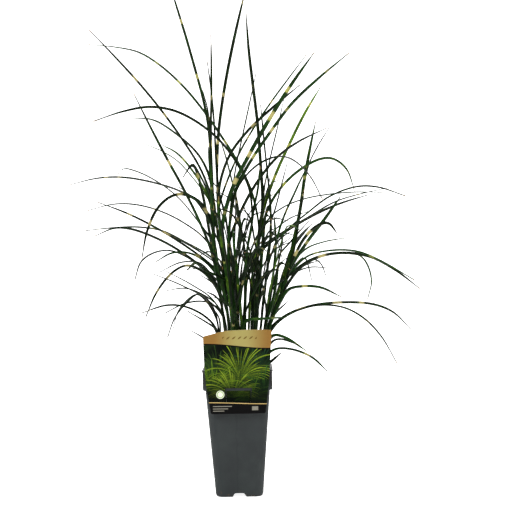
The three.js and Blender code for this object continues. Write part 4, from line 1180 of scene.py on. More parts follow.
# %% Sizes of the pot, in millimetres
POT_HEIGHT = 202
FOOT_HALF = 37.5
FOOT_ROUND = 6
FOOT_SQUASH = 0.5
FOOT_FILLET = 0.6
BODY_TOP_HALF = 51
WALL = 1.5
SKIRT_HALF = 55
SKIRT_WALL = 1.2
SKIRT_BOTTOM = 170.5
SKIRT_BEVEL = (0.4, 3)
LIP_PROUD = 1
LIP_HEIGHT = 3
LIP_SLOPE = 0.6
LIP_BEVEL = 0.8
LIP_TOP_PROUD = 0.2
FLOOR_UNDERSIDE = 8
CENTRE_HOLE_HALF = 0.5
CORNER_ROUND = 10
CORNER_STEPS = 12
EDGE_ROUND = 0.7
NOTCH = dict(base=22.5, top=12, height=6.4)
NOTCH_ROUND = 2.0
DRAIN = dict(radius=3.5, ring=24, count=8, corners=24)
CUT_ROOM = 3
MERGE = 1e-6
SHARP_EDGE = math.radians(35)
GAP = 0.3


# %% Outlines and rings
MOST_CUT = 0.42
MOST_ROUND = 0.9


def softened(corners, radius, steps=3, closed=True):
    """The outline with each corner drawn as a short curve instead."""
    corners = np.array(corners, float)
    made = []
    for i, corner in enumerate(corners):
        if not closed and i in (0, len(corners) - 1):
            made.append(corner)
            continue
        before, after = corners[i - 1] - corner, corners[(i + 1) % len(corners)] - corner
        lengths = [np.linalg.norm(leg) for leg in (before, after)]
        cut = min(radius, MOST_CUT * min(lengths))
        start, end = corner + before * cut / lengths[0], corner + after * cut / lengths[1]
        for t in np.linspace(0, 1, steps + 1):
            made.append(start * (1 - t) ** 2 + corner * 2 * t * (1 - t) + end * t * t)
    return np.array(made)


def square_ring(half, z):
    """A square with round corners at one height, the same number of points for every size."""
    corner_round = min(CORNER_ROUND, half * MOST_ROUND)
    angles = np.radians(np.linspace(0, 90, CORNER_STEPS + 1))
    ring = []
    for quarter, (sx, sy) in enumerate([(1, 1), (-1, 1), (-1, -1), (1, -1)]):
        for angle in angles + quarter * math.pi / 2:
            x = sx * (half - corner_round) + corner_round * math.cos(angle)
            y = sy * (half - corner_round) + corner_round * math.sin(angle)
            ring.append((x, y, z))
    return ring


def body_half(z):
    """Half the body's width at a height."""
    return FOOT_HALF + (BODY_TOP_HALF - FOOT_HALF) * z / SKIRT_BOTTOM


# %% Meshes from outlines
def mesh_of(name, points, faces):
    mesh = bpy.data.meshes.new(name)
    mesh.from_pydata((np.array(points) * MM).tolist(), [], faces)
    return mesh


def face_outwards(mesh, merge=0):
    """Point the faces outwards, after points nearer than a distance are merged."""
    work = bmesh.new()
    work.from_mesh(mesh)
    if merge:
        bmesh.ops.remove_doubles(work, verts=work.verts, dist=merge)
    bmesh.ops.recalc_face_normals(work, faces=work.faces)
    work.to_mesh(mesh)
    work.free()


def ring_faces(count, size, closed=False):
    """Faces between rings of equal size that follow each other."""
    faces = []
    for i in range(count if closed else count - 1):
        j = (i + 1) % count
        for k in range(size):
            n = (k + 1) % size
            faces.append((i * size + k, i * size + n, j * size + n, j * size + k))
    return faces


def prism_mesh(name, outline, low, high, axis):
    """An outline pushed from low to high along an axis, as a closed solid."""
    order = {"x": (2, 0, 1), "y": (0, 2, 1), "z": (0, 1, 2)}[axis]
    size = len(outline)
    ends = [[(u, v, w) for u, v in outline] for w in (low, high)]
    points = [tuple(p[k] for k in order) for p in ends[0] + ends[1]]
    faces = ring_faces(2, size) + [tuple(range(size))[::-1], tuple(range(size, 2 * size))]
    mesh = mesh_of(name, points, faces)
    face_outwards(mesh)
    return mesh


def cut_out(piece, cutters):
    """Take the cutters out of a piece, and leave it as a plain mesh with even shading."""
    helpers = [object_of(cutter) for cutter in cutters]
    for helper in helpers:
        modifier = piece.modifiers.new("cut", "BOOLEAN")
        modifier.operation = "DIFFERENCE"
        modifier.solver = "EXACT"
        modifier.object = helper
    piece.data.set_sharp_from_angle(angle=SHARP_EDGE)
    weighted = piece.modifiers.new("even", "WEIGHTED_NORMAL")
    weighted.keep_sharp = True
    bpy.context.view_layer.update()
    make_plain(piece)
    for helper in helpers:
        bpy.data.objects.remove(helper)


# %% Pot mesh
def pot_profile():
    """The wall's outline as (half width, height), from the foot up outside and down inside."""
    rim_inside = SKIRT_HALF - SKIRT_WALL
    floor = FLOOR_UNDERSIDE + WALL
    angles = np.radians(np.linspace(0, 90, 10))
    curve = [(FOOT_ROUND * (1 - math.cos(a)), FOOT_ROUND * FOOT_SQUASH * (1 - math.sin(a))) for a in angles]
    foot = [(body_half(z) - inward, z) for z, inward in curve]
    corners = [
        foot[-1],
        (BODY_TOP_HALF, SKIRT_BOTTOM),
        (BODY_TOP_HALF, POT_HEIGHT - LIP_HEIGHT),
        (rim_inside, POT_HEIGHT - LIP_HEIGHT),
        (rim_inside, SKIRT_BOTTOM),
        (SKIRT_HALF - SKIRT_BEVEL[0], SKIRT_BOTTOM),
        (SKIRT_HALF, SKIRT_BOTTOM + SKIRT_BEVEL[1]),
        (SKIRT_HALF, POT_HEIGHT - LIP_HEIGHT),
        (SKIRT_HALF + LIP_PROUD, POT_HEIGHT - LIP_HEIGHT + LIP_SLOPE),
        (SKIRT_HALF + LIP_PROUD, POT_HEIGHT - LIP_BEVEL),
        (SKIRT_HALF + LIP_TOP_PROUD, POT_HEIGHT),
        (BODY_TOP_HALF - WALL, POT_HEIGHT),
        (BODY_TOP_HALF - WALL, SKIRT_BOTTOM),
        (body_half(floor) - WALL, floor),
        (CENTRE_HOLE_HALF, floor),
        (CENTRE_HOLE_HALF, FLOOR_UNDERSIDE),
        (body_half(FLOOR_UNDERSIDE) - WALL - FOOT_FILLET, FLOOR_UNDERSIDE),
        (foot[0][0] - WALL, 0),
    ]
    return [*foot[:-1], *softened(corners, EDGE_ROUND, closed=False)]


def foot_cutters():
    """Solids for the notch in the middle of each lower edge, and for the drain holes."""
    corners = [
        (-NOTCH["base"] / 2 - 0.6, -1),
        (-NOTCH["base"] / 2 + 1, 1.2),
        (-NOTCH["top"] / 2 - 2, NOTCH["height"] - 1),
        (-NOTCH["top"] / 2, NOTCH["height"]),
    ]
    corners += [(-x, z) for x, z in reversed(corners)]
    notch = softened(corners, NOTCH_ROUND, steps=4, closed=False)
    reach = 2 * FOOT_HALF
    cutters = [prism_mesh("cut_" + axis, notch, -reach, reach, axis) for axis in ("x", "y")]
    low, high = FLOOR_UNDERSIDE - CUT_ROOM, FLOOR_UNDERSIDE + WALL + CUT_ROOM
    for i in range(DRAIN["count"]):
        turn = 2 * math.pi * (i + 0.5) / DRAIN["count"]
        centre = np.array([DRAIN["ring"] * math.cos(turn), DRAIN["ring"] * math.sin(turn)])
        angles = np.radians(np.arange(0, 360, 360 / DRAIN["corners"]))
        hole = [centre + DRAIN["radius"] * np.array([math.cos(a), math.sin(a)]) for a in angles]
        cutters.append(prism_mesh(f"drain_{i}", hole, low, high, "z"))
    return cutters


def pot_piece():
    rings = [square_ring(half, z) for half, z in pot_profile()]
    points = [p for ring in rings for p in ring]
    mesh = mesh_of("pot_fine", points, ring_faces(len(rings), len(rings[0]), closed=True))
    face_outwards(mesh, MERGE)
    mesh.shade_smooth()
    piece = object_of(mesh)
    cut_out(piece, foot_cutters())
    return piece


# %% [markdown]
# The plastic is anthracite with a satin shine. A faint darker line wanders down the middle of the
# front, where the plastic met in its mould, and a little dust from the nursery clings to the foot.
# Painted shade darkens the rim, all but the lower edge of its skirt.

# %% Pot material
POT_COLOURS = dict(
    dark=srgb(39, 43, 44),
    light=srgb(46, 51, 51),
    mould_line=srgb(32, 36, 37),
    dust=srgb(96, 76, 52),
    # the colour of the painted shade on the rim
    painted_rim_shade=srgb(16, 13, 12),
)
MOULD_LINE = dict(x=-3, half=2.2, core=0.2, sway=16, strength=0.35)
FRONT_WALL = (-30, -35)
DUST = dict(height=14, strength=0.7)
# Where the painted shade on the rim begins and ends in height, how its edge wavers, and how dark it is.
PAINTED_RIM_SHADE = dict(low=175, high=187, waver=6, strength=0.75)


def pot_material():
    material, tree, shader = new_material("anthracite_plastic")
    tints = POT_COLOURS
    place = add(tree, "ShaderNodeTexCoord").outputs["Object"]
    x, y, z = add(tree, "ShaderNodeSeparateXYZ", {0: place}).outputs
    fine = grain(tree, 1500.0, 0.12)
    broad = grain(tree, 22.0)["Value"]

    body = blend_colours(tree, ramp_between(tree, broad, 0.3, 0.7), tints["dark"], tints["light"])
    sway = times(tree, maths(tree, "SUBTRACT", broad, 0.5), MOULD_LINE["sway"] * MM)
    off_line = maths(tree, "ADD", maths(tree, "ADD", x, -MOULD_LINE["x"] * MM), sway)
    off_line = maths(tree, "ABSOLUTE", off_line)
    line = ramp_between(tree, off_line, MOULD_LINE["half"] * MM, MOULD_LINE["core"] * MM)
    front = ramp_between(tree, y, *(place * MM for place in FRONT_WALL))
    line = times(tree, line, front, MOULD_LINE["strength"])
    body = blend_colours(tree, line, body, tints["mould_line"])

    near_foot = ramp_between(tree, z, DUST["height"] * MM, 0.0)
    patchy = ramp_between(tree, grain(tree, 160.0)["Value"], 0.56, 0.68)
    body = blend_colours(tree, times(tree, near_foot, patchy, DUST["strength"]), body, tints["dust"])

    # Painted shade: the rim and the skirt above its lower edge are darkened, with a wavering lower edge.
    uneven = maths(tree, "ADD", z, times(tree, broad, PAINTED_RIM_SHADE["waver"] * MM))
    painted_rim_shade = ramp_between(tree, uneven, PAINTED_RIM_SHADE["low"] * MM, PAINTED_RIM_SHADE["high"] * MM, 0.0, PAINTED_RIM_SHADE["strength"])
    body = blend_colours(tree, painted_rim_shade, body, tints["painted_rim_shade"])
    tree.links.new(body, shader.inputs["Base Color"])
    tree.links.new(ramp_between(tree, fine["Value"], 0.3, 0.7, 0.4, 0.5), shader.inputs["Roughness"])
    tree.links.new(fine["Normal"], shader.inputs["Normal"])
    shader.inputs["Specular IOR Level"].default_value = 0.25
    return material


# %% Place the pot
pot = pot_piece()
pot.data.materials.append(pot_material())
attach(pot, "root")
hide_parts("pot")
print("triangles of the pot:", triangles(pot.data))

# %% [markdown]
# ## The soil
#
# The soil can't be seen from the front, only from above. It is a dark potting mix with an uneven
# top. Crumbs, flakes of bark, short fibres and a few pale grains are scattered over it by geometry
# nodes. Sizes in the tree are metres.

# %% Soil block with an uneven top
SOIL_SEED = 77
SOIL_SWELL = 1.3
SOIL_RINGS = 30
SOIL_BENDS = (60, 120)
SOIL_ROUND = 2
INNERMOST = 0.02
EDGE_DIP = 0.4
EDGE_POWER = 8
WAVES = 9
WAVE_TURNS = (0.05, 0.3)
WAVE_START = (0, 6)
WAVE_SIZE = (0.3, 1)


def soil_mesh():
    between = seeded(SOIL_SEED)
    draws = (WAVE_TURNS, WAVE_TURNS, WAVE_START, WAVE_SIZE)
    waves = [[between(*draw) for draw in draws] for _ in range(WAVES)]
    total = sum(wave[3] for wave in waves)
    floor = FLOOR_UNDERSIDE + WALL + GAP
    inner = BODY_TOP_HALF - WALL - GAP
    walls = [(body_half(z) - WALL - GAP, z) for z in (floor, *SOIL_BENDS, SKIRT_BOTTOM)]
    walls.append((inner, SOIL_TOP - SOIL_ROUND))
    rings = [square_ring(half, z) for half, z in walls]
    for share in np.linspace(1, INNERMOST, SOIL_RINGS):
        ring = []
        for x, y, _ in square_ring(inner, SOIL_TOP):
            px, py = x * share, y * share
            swell = sum(size * math.sin(kx * px + ky * py + turn) for kx, ky, turn, size in waves)
            rise = swell / total * 2 - EDGE_DIP * share ** EDGE_POWER
            ring.append((px, py, SOIL_TOP + SOIL_SWELL * rise))
        rings.append(ring)
    size = len(rings[0])
    faces = ring_faces(len(rings), size)
    faces += [tuple(range(size))[::-1], tuple(range((len(rings) - 1) * size, len(rings) * size))]
    mesh = mesh_of("soil_fine", [p for ring in rings for p in ring], faces)
    top = mesh.attributes.new("is_top", "BOOLEAN", "FACE")
    on_top = [face.center.z > (SOIL_TOP - SOIL_ROUND) * MM for face in mesh.polygons]
    top.data.foreach_set("value", on_top)
    mesh.shade_smooth()
    return mesh


# %% Tree: crumbs scattered over the top
FLAT_TILT = 0.35
TONE_SPREAD = 0.12
CRUMBS = [
    dict(form="lump", density=260000.0, least=0.35, most=1.0, tilt=math.pi, seed=11, tone=0.16),
    dict(form="lump", density=26000.0, least=1.0, most=1.9, tilt=math.pi, seed=21, tone=0.3),
    dict(form="flake", density=16000.0, least=0.5, most=1.35, tilt=FLAT_TILT, seed=31, tone=0.55),
    dict(form="fibre", density=14000.0, least=0.6, most=1.3, tilt=FLAT_TILT, seed=41, tone=0.72),
    dict(form="lump", density=1500.0, least=0.7, most=1.3, tilt=math.pi, seed=51, tone=1.05),
]


def scatter_tree():
    tree = bpy.data.node_groups.new("crumbs_on_top", "GeometryNodeTree")
    socket(tree, "Soil", "NodeSocketGeometry")
    socket(tree, "Finish", "NodeSocketMaterial")
    socket(tree, "Covered", "NodeSocketGeometry", out=True)
    given = add(tree, "NodeGroupInput").outputs
    top = add(tree, "GeometryNodeInputNamedAttribute", {"Name": "is_top"}, data_type="BOOLEAN").outputs[0]

    def random_vector(low, high, seed):
        inputs = {0: low, 1: high, "Seed": seed}
        return add(tree, "FunctionNodeRandomValue", inputs, data_type="FLOAT_VECTOR").outputs[0]

    def random_value(low, high, seed):
        inputs = {2: low, 3: high, "Seed": seed}
        return add(tree, "FunctionNodeRandomValue", inputs, data_type="FLOAT").outputs[1]

    def crumb(kind, inputs, warp, seed):
        """A small closed form with its points pushed about, so that it looks broken."""
        form = add(tree, kind, inputs).outputs[0]
        inputs = {"Geometry": form, "Offset": random_vector((-warp,) * 3, (warp,) * 3, seed)}
        return add(tree, "GeometryNodeSetPosition", inputs).outputs[0]

    def strewn(form, density, least, most, tilt, seed, tone):
        """Copies of one form on the top faces, turned and sized at random, with a tone of their own."""
        inputs = {"Mesh": given["Soil"], "Selection": top, "Density": density, "Seed": seed}
        points = add(tree, "GeometryNodeDistributePointsOnFaces", inputs).outputs[0]
        turn = random_vector((-tilt, -tilt, 0.0), (tilt, tilt, 2 * math.pi), seed + 1)
        size = random_value(least, most, seed + 2)
        inputs = {"Points": points, "Instance": forms[form], "Rotation": turn, "Scale": size}
        copies = add(tree, "GeometryNodeInstanceOnPoints", inputs).outputs[0]
        own = random_value(tone - TONE_SPREAD, tone + TONE_SPREAD, seed + 3)
        inputs = {"Geometry": copies, "Name": "tone", "Value": own}
        marked = add(tree, "GeometryNodeStoreNamedAttribute", inputs, data_type="FLOAT", domain="INSTANCE")
        return marked.outputs[0]

    forms = dict(
        lump=crumb("GeometryNodeMeshIcoSphere", {"Radius": 0.001, "Subdivisions": 1}, 0.00032, 3),
        flake=crumb("GeometryNodeMeshCube", {"Size": (0.0042, 0.0022, 0.0007)}, 0.00035, 5),
        fibre=crumb("GeometryNodeMeshCube", {"Size": (0.009, 0.0004, 0.0004), "Vertices X": 5}, 0.0004, 7),
    )
    join = tree.nodes.new("GeometryNodeJoinGeometry")
    for part in [given["Soil"], *(strewn(**row) for row in CRUMBS)]:
        tree.links.new(part, join.inputs[0])
    whole = add(tree, "GeometryNodeRealizeInstances", {"Geometry": join.outputs[0]}).outputs[0]
    painted = add(tree, "GeometryNodeSetMaterial", {"Geometry": whole, "Material": given["Finish"]})
    add(tree, "NodeGroupOutput", {"Covered": painted.outputs[0]})
    return tree


# %% Soil material
SOIL_COLOURS = dict(
    peat=srgb(24, 17, 13),
    bark=srgb(58, 41, 29),
    fibre=srgb(116, 84, 54),
    stone=srgb(198, 190, 176),
    damp=srgb(18, 13, 10),
)
DAMP_STRENGTH = 0.45


def soil_material():
    material, tree, shader = new_material("potting_mix")
    tints = SOIL_COLOURS
    tone = attribute(tree, "tone")
    fine = grain(tree, 700.0, 0.9)
    damp = grain(tree, 45.0)["Value"]
    shade = maths(tree, "ADD", tone, ramp_between(tree, fine["Value"], 0.3, 0.7, -0.14, 0.14))
    colour = blend_colours(tree, ramp_between(tree, shade, 0.0, 0.4), tints["peat"], tints["bark"])
    colour = blend_colours(tree, ramp_between(tree, shade, 0.4, 0.8), colour, tints["fibre"])
    colour = blend_colours(tree, ramp_between(tree, shade, 0.9, 1.05), colour, tints["stone"])
    wet = ramp_between(tree, damp, 0.4, 0.65, 0.0, DAMP_STRENGTH)
    colour = blend_colours(tree, wet, colour, tints["damp"])
    tree.links.new(colour, shader.inputs["Base Color"])
    tree.links.new(ramp_between(tree, damp, 0.4, 0.65, 0.95, 0.75), shader.inputs["Roughness"])
    tree.links.new(fine["Normal"], shader.inputs["Normal"])
    shader.inputs["Specular IOR Level"].default_value = 0.2
    return material


# %% Place the soil
soil = run_tree(soil_mesh(), scatter_tree(), soil_material())
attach(soil, "root")
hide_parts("soil")
print("triangles of the soil:", triangles(soil.data))

# %% [markdown]
# ## The tag
#
# The tag is a thin printed sheet with rounded corners and an arched top. It bows forward a little
# in the middle, and a tongue cut out of it is tucked up behind the pot's skirt, which leaves a
# window that shows the skirt's edge.

# %% Sizes of the tag, in millimetres
TAG_THICKNESS = 0.8
TAG_BACK = -(SKIRT_HALF + LIP_PROUD + GAP)
TAG_LEFT = [(134.6, -42), (180.6, -49), (216.6, -51.6), (256.5, -52.5)]
TAG_RIGHT = [(135, 43.5), (187, 50), (265, 55)]
TAG_TOP = [(-52.5, 256.5), (-41, 259.4), (-30, 262.2), (-15, 265), (12, 266), (41, 265.8), (55, 265)]
TAG_BOTTOM = [(-42, 134.6), (43.5, 135)]
TAG_LOW = 134.8
TAG_TALL = 130
TAG_CORNER = 2.5
TAG_WINDOW = [(-17, 152), (20, 152), (23, 175), (-20, 175)]
WINDOW_ROUND = 1.2
TAG_BOW = 0.9
BOW_HALF = 50
TAG_LEAN = 2.2
LEAN_RISE = 64
TAG_GRID = (48, 60)
TONGUE = dict(half=18.3, middle=1.5, top=194, level=150, play=0.1, sunk=0.2, bend=3.0)
FACING_FRONT = -0.3


# %% Sheet, window and tongue
def tag_forward(x, z):
    """How far the sheet stands in front of a flat one."""
    bow = TAG_BOW * max(0.0, 1 - (x / BOW_HALF) ** 2)
    lean = TAG_LEAN * max(0.0, (z - POT_HEIGHT) / LEAN_RISE) ** 2
    return bow + lean


def corner_cut(height):
    """How far a row is drawn in at its height within a rounded corner."""
    inside = min(1.0, height / TAG_CORNER)
    return TAG_CORNER * (1 - math.sqrt(max(0.0, 1 - (1 - inside) ** 2)))


def tag_sheet():
    columns, rows = TAG_GRID
    shares = 0.5 - 0.5 * np.cos(np.linspace(0, math.pi, rows + 1))
    front = []
    for v in shares:
        level = TAG_LOW + v * TAG_TALL
        left = np.interp(level, *zip(*TAG_LEFT))
        right = np.interp(level, *zip(*TAG_RIGHT))
        drawn_in = corner_cut(min(v, 1 - v) * TAG_TALL)
        for u in np.linspace(0, 1, columns + 1):
            x = left + drawn_in + u * (right - left - 2 * drawn_in)
            bottom, top = (np.interp(x, *zip(*edge)) for edge in (TAG_BOTTOM, TAG_TOP))
            z = bottom + v * (top - bottom)
            front.append((x, TAG_BACK - TAG_THICKNESS - tag_forward(x, z), z))
    back = [(x, y + TAG_THICKNESS, z) for x, y, z in front]
    width, count = columns + 1, len(front)
    faces = []
    for j in range(rows):
        for i in range(columns):
            a, b = j * width + i, (j + 1) * width + i
            faces.append((a, a + 1, b + 1, b))
            faces.append((count + a, count + b, count + b + 1, count + a + 1))
    rim = list(range(width))
    rim += [j * width + columns for j in range(1, rows + 1)]
    rim += [rows * width + i for i in reversed(range(columns))]
    rim += [j * width for j in reversed(range(1, rows))]
    for a, b in zip(rim, rim[1:] + rim[:1]):
        faces.append((a, count + a, count + b, b))
    mesh = mesh_of("tag_fine", front + back, faces)
    mesh.shade_smooth()
    return mesh


def tongue_mesh():
    """The tongue seen from the side: up the sheet's back, then inwards and up behind the skirt."""
    start = TAG_BACK - tag_forward(TONGUE["middle"], TONGUE["level"]) + TONGUE["play"]
    front = start - TAG_THICKNESS + TONGUE["sunk"]
    behind = -(SKIRT_HALF - SKIRT_WALL - GAP - TONGUE["play"])
    side = [
        (start, TONGUE["level"] - 2),
        (start, TONGUE["level"] + 3),
        (behind + TAG_THICKNESS, SKIRT_BOTTOM - 4),
        (behind + TAG_THICKNESS, TONGUE["top"]),
        (behind, TONGUE["top"]),
        (behind, SKIRT_BOTTOM - 3.6),
        (front, TONGUE["level"] + 3.4),
        (front, TONGUE["level"] - 2),
    ]
    low, high = TONGUE["middle"] - TONGUE["half"], TONGUE["middle"] + TONGUE["half"]
    return prism_mesh("tongue", softened(side, TONGUE["bend"], steps=5), low, high, "x")


def tag_piece():
    window = softened(TAG_WINDOW, WINDOW_ROUND)
    piece = object_of(tag_sheet())
    cut_out(piece, [prism_mesh("window", window, TAG_BACK - 2 * CUT_ROOM, TAG_BACK + CUT_ROOM, "y")])
    both = bmesh.new()
    both.from_mesh(piece.data)
    both.from_mesh(tongue_mesh())
    both.to_mesh(piece.data)
    both.free()
    printed = piece.data.attributes.new("printed", "FLOAT", "FACE")
    in_front = [float(face.normal.y < FACING_FRONT) for face in piece.data.polygons]
    printed.data.foreach_set("value", in_front)
    return piece


# %% [markdown]
# The print is a design of its own in the tag's colours: a gold band with a wavy edge and a row of
# small leaves, tufts of grass on a dark bed, a pale round badge, and a dark foot with plain pale
# bars. One node group draws a tuft, as blades that fan out from a point and arch over, and it is
# laid several times from back to front. All is drawn in millimetres on the tag's own face.

# %% Shader group: a printed tuft
TUFT_ARCH = 0.55
LENGTH_LANE = 7.0
TONE_LANE = 3.0


def tuft_group():
    """A mask and a tone for blades drawn about a point, from how far right and up a place is."""
    tree = bpy.data.node_groups.new("printed_tuft", "ShaderNodeTree")
    for name, default in (("Right", 0.0), ("Up", 0.0), ("Reach", 50.0), ("Blades", 9.0), ("Seed", 0.0)):
        socket(tree, name, "NodeSocketFloat", default)
    socket(tree, "Mask", "NodeSocketFloat", out=True)
    socket(tree, "Tone", "NodeSocketFloat", out=True)
    given = add(tree, "NodeGroupInput").outputs
    right, up = given["Right"], given["Up"]
    square = maths(tree, "ADD", times(tree, right, right), times(tree, up, up))
    far = maths(tree, "DIVIDE", maths(tree, "SQRT", square), given["Reach"])
    angle = maths(tree, "ARCTAN2", right, up)
    arch = maths(tree, "ADD", times(tree, far, far, TUFT_ARCH), 1.0)
    turn = times(tree, maths(tree, "DIVIDE", angle, arch), given["Blades"])

    def noise(first, second, scale):
        place = add(tree, "ShaderNodeCombineXYZ", {0: first, 1: second, 2: given["Seed"]}).outputs[0]
        inputs = {"Vector": place, "Scale": scale, "Detail": 1.0}
        return add(tree, "ShaderNodeTexNoise", inputs).outputs[0]

    blade = ramp_between(tree, noise(turn, times(tree, far, 0.6), 1.0), 0.47, 0.53)
    reach = noise(turn, LENGTH_LANE, 0.8)
    length = ramp_between(tree, reach, 0.3, 0.7, 0.45, 1.15, smooth_step=False)
    short = ramp_between(tree, maths(tree, "SUBTRACT", far, length), 0.0, -0.06)
    above = ramp_between(tree, up, -1.0, 1.0)
    mask = times(tree, blade, short, above)
    tone = maths(tree, "ADD", noise(turn, TONE_LANE, 2.3), times(tree, far, 0.25))
    add(tree, "NodeGroupOutput", {"Mask": mask, "Tone": tone})
    return tree


# %% What is printed where, in millimetres
TAG_COLOURS = dict(
    plain=srgb(225, 224, 218),
    bed_dark=srgb(3, 8, 4),
    bed_light=srgb(22, 38, 16),
    gloom=srgb(2, 6, 3),
    badge=srgb(232, 236, 214),
    badge_ring=srgb(120, 158, 70),
    line=srgb(206, 176, 112),
    foot=srgb(9, 8, 8),
    bars=srgb(150, 146, 132),
    edge=srgb(3, 3, 3),
    gold_side=srgb(138, 102, 50),
    gold_middle=srgb(160, 148, 88),
    leaves=srgb(92, 64, 26),
)
TUFTS = [
    dict(x=-30, z=196, reach=42, blades=34, seed=1.3, low=(14, 34, 18), high=(62, 90, 34)),
    dict(x=34, z=194, reach=44, blades=36, seed=2.9, low=(6, 26, 20), high=(34, 66, 36)),
    dict(x=4, z=188, reach=56, blades=44, seed=4.1, low=(22, 54, 10), high=(148, 172, 42)),
    dict(x=-38, z=170, reach=48, blades=38, seed=6.7, low=(16, 50, 12), high=(116, 150, 34)),
    dict(x=41, z=166, reach=42, blades=34, seed=8.2, low=(6, 32, 18), high=(56, 96, 32)),
    dict(x=-8, z=160, reach=48, blades=42, seed=9.4, low=(20, 58, 10), high=(158, 180, 50)),
    dict(x=22, z=155, reach=34, blades=34, seed=11.8, low=(8, 40, 14), high=(84, 122, 28)),
]
BARS = [(-24, 146.6, 15, 0.8), (-27, 142.8, 12, 0.8), (-30, 139.4, 9, 0.8), (27, 143, 5, 3.2)]
BAR_STRENGTH = 0.75
BADGE = dict(x=-27, z=165, radius=6.5, ring=1.1)
GLOOM = dict(high=204.0, low=156.0, strength=0.85)
FOOT_WAVE = dict(length=-34, height=1.6, level=151.4)
FOOT_LINE_TOP = (0.5, 0.2)
FOOT_TOP = (-0.6, -0.9)
GOLD_WAVE = dict(length=33, height=-4.0, level=241)
GOLD_EDGE = (-1.9, -1.5)
GOLD_BOTTOM = (-0.1, 0.2)
GOLD_SHEEN = dict(middle=6, side=46, bright=4)
LEAVES = dict(apart=9.0, z=253.5, middle=4.5, half_row=27, slant=(0.8, 0.6), strength=0.85)
LEAF_SLIM = 1.9
LEAF_SHORT = 0.15
LEAF_RIM = (2.4, 2.0)
SOFT = 0.3


# %% Masks for the print
def away(tree, value, centre):
    """How far a value is from a centre."""
    return maths(tree, "ABSOLUTE", maths(tree, "SUBTRACT", value, centre))


def within(tree, value, centre, half):
    """A stripe about a centre, 1 inside and 0 outside."""
    return ramp_between(tree, away(tree, value, centre), half, half - SOFT)


def above_wave(tree, x, z, length, height, level):
    """How far a place is above a wavy line."""
    swing = maths(tree, "SINE", maths(tree, "DIVIDE", x, length))
    return maths(tree, "SUBTRACT", z, maths(tree, "ADD", times(tree, swing, height), level))


def from_point(tree, x, z, point):
    """How far a place is to the right of a point, and how far above it."""
    return maths(tree, "SUBTRACT", x, point["x"]), maths(tree, "SUBTRACT", z, point["z"])


def disc(tree, x, z, point, radius):
    squares = [times(tree, side, side) for side in from_point(tree, x, z, point)]
    out = maths(tree, "SQRT", maths(tree, "ADD", *squares))
    return ramp_between(tree, out, radius, radius - SOFT)


# %% Layers of the print
def tuft_layer(tree, x, z, colour):
    tuft = tuft_group()
    for row in TUFTS:
        right, up = from_point(tree, x, z, row)
        inputs = dict(Right=right, Up=up, Reach=row["reach"], Blades=row["blades"], Seed=row["seed"])
        drawn = add(tree, "ShaderNodeGroup", inputs, node_tree=tuft).outputs
        tone = ramp_between(tree, drawn["Tone"], 0.4, 0.95)
        blade = blend_colours(tree, tone, srgb(*row["low"]), srgb(*row["high"]))
        colour = blend_colours(tree, drawn["Mask"], colour, blade)
    gloom = ramp_between(tree, z, GLOOM["high"], GLOOM["low"], 0.0, GLOOM["strength"])
    return blend_colours(tree, gloom, colour, TAG_COLOURS["gloom"])


def badge_layer(tree, x, z, colour):
    whole, outer, inner = (
        disc(tree, x, z, BADGE, BADGE["radius"] - count * BADGE["ring"]) for count in range(3))
    colour = blend_colours(tree, whole, colour, TAG_COLOURS["badge"])
    return blend_colours(tree, maths(tree, "SUBTRACT", outer, inner), colour, TAG_COLOURS["badge_ring"])


def foot_layer(tree, x, z, colour):
    above = above_wave(tree, x, z, **FOOT_WAVE)
    colour = blend_colours(tree, ramp_between(tree, above, *FOOT_LINE_TOP), colour, TAG_COLOURS["line"])
    colour = blend_colours(tree, ramp_between(tree, above, *FOOT_TOP), colour, TAG_COLOURS["foot"])
    for bar_x, bar_z, half_length, half_height in BARS:
        across, up = within(tree, x, bar_x, half_length), within(tree, z, bar_z, half_height)
        colour = blend_colours(tree, times(tree, across, up, BAR_STRENGTH), colour, TAG_COLOURS["bars"])
    return colour


def gold_layer(tree, x, z, colour):
    above = above_wave(tree, x, z, **GOLD_WAVE)
    colour = blend_colours(tree, ramp_between(tree, above, *GOLD_EDGE), colour, TAG_COLOURS["edge"])
    sheen = ramp_between(tree, away(tree, x, GOLD_SHEEN["middle"]), GOLD_SHEEN["side"], GOLD_SHEEN["bright"])
    gold = blend_colours(tree, sheen, TAG_COLOURS["gold_side"], TAG_COLOURS["gold_middle"])
    return blend_colours(tree, ramp_between(tree, above, *GOLD_BOTTOM), colour, gold)


def leaf_layer(tree, x, z, colour):
    cell = maths(tree, "FLOORED_MODULO", x, LEAVES["apart"])
    cell = maths(tree, "SUBTRACT", cell, LEAVES["apart"] / 2)
    rise = maths(tree, "SUBTRACT", z, LEAVES["z"])
    along, across = LEAVES["slant"]
    long_way = maths(tree, "ADD", times(tree, cell, along), times(tree, rise, across))
    short_way = maths(tree, "SUBTRACT", times(tree, rise, along), times(tree, cell, across))
    slim = times(tree, maths(tree, "ABSOLUTE", short_way), LEAF_SLIM)
    leaf = maths(tree, "ADD", slim, times(tree, long_way, long_way, LEAF_SHORT))
    end = LEAVES["half_row"]
    row = ramp_between(tree, away(tree, x, LEAVES["middle"]), end + 0.2, end - 0.2)
    leaf = times(tree, ramp_between(tree, leaf, *LEAF_RIM), row, LEAVES["strength"])
    return blend_colours(tree, leaf, colour, TAG_COLOURS["leaves"])


# %% Tag material
PRINT_LAYERS = (tuft_layer, badge_layer, foot_layer, gold_layer, leaf_layer)


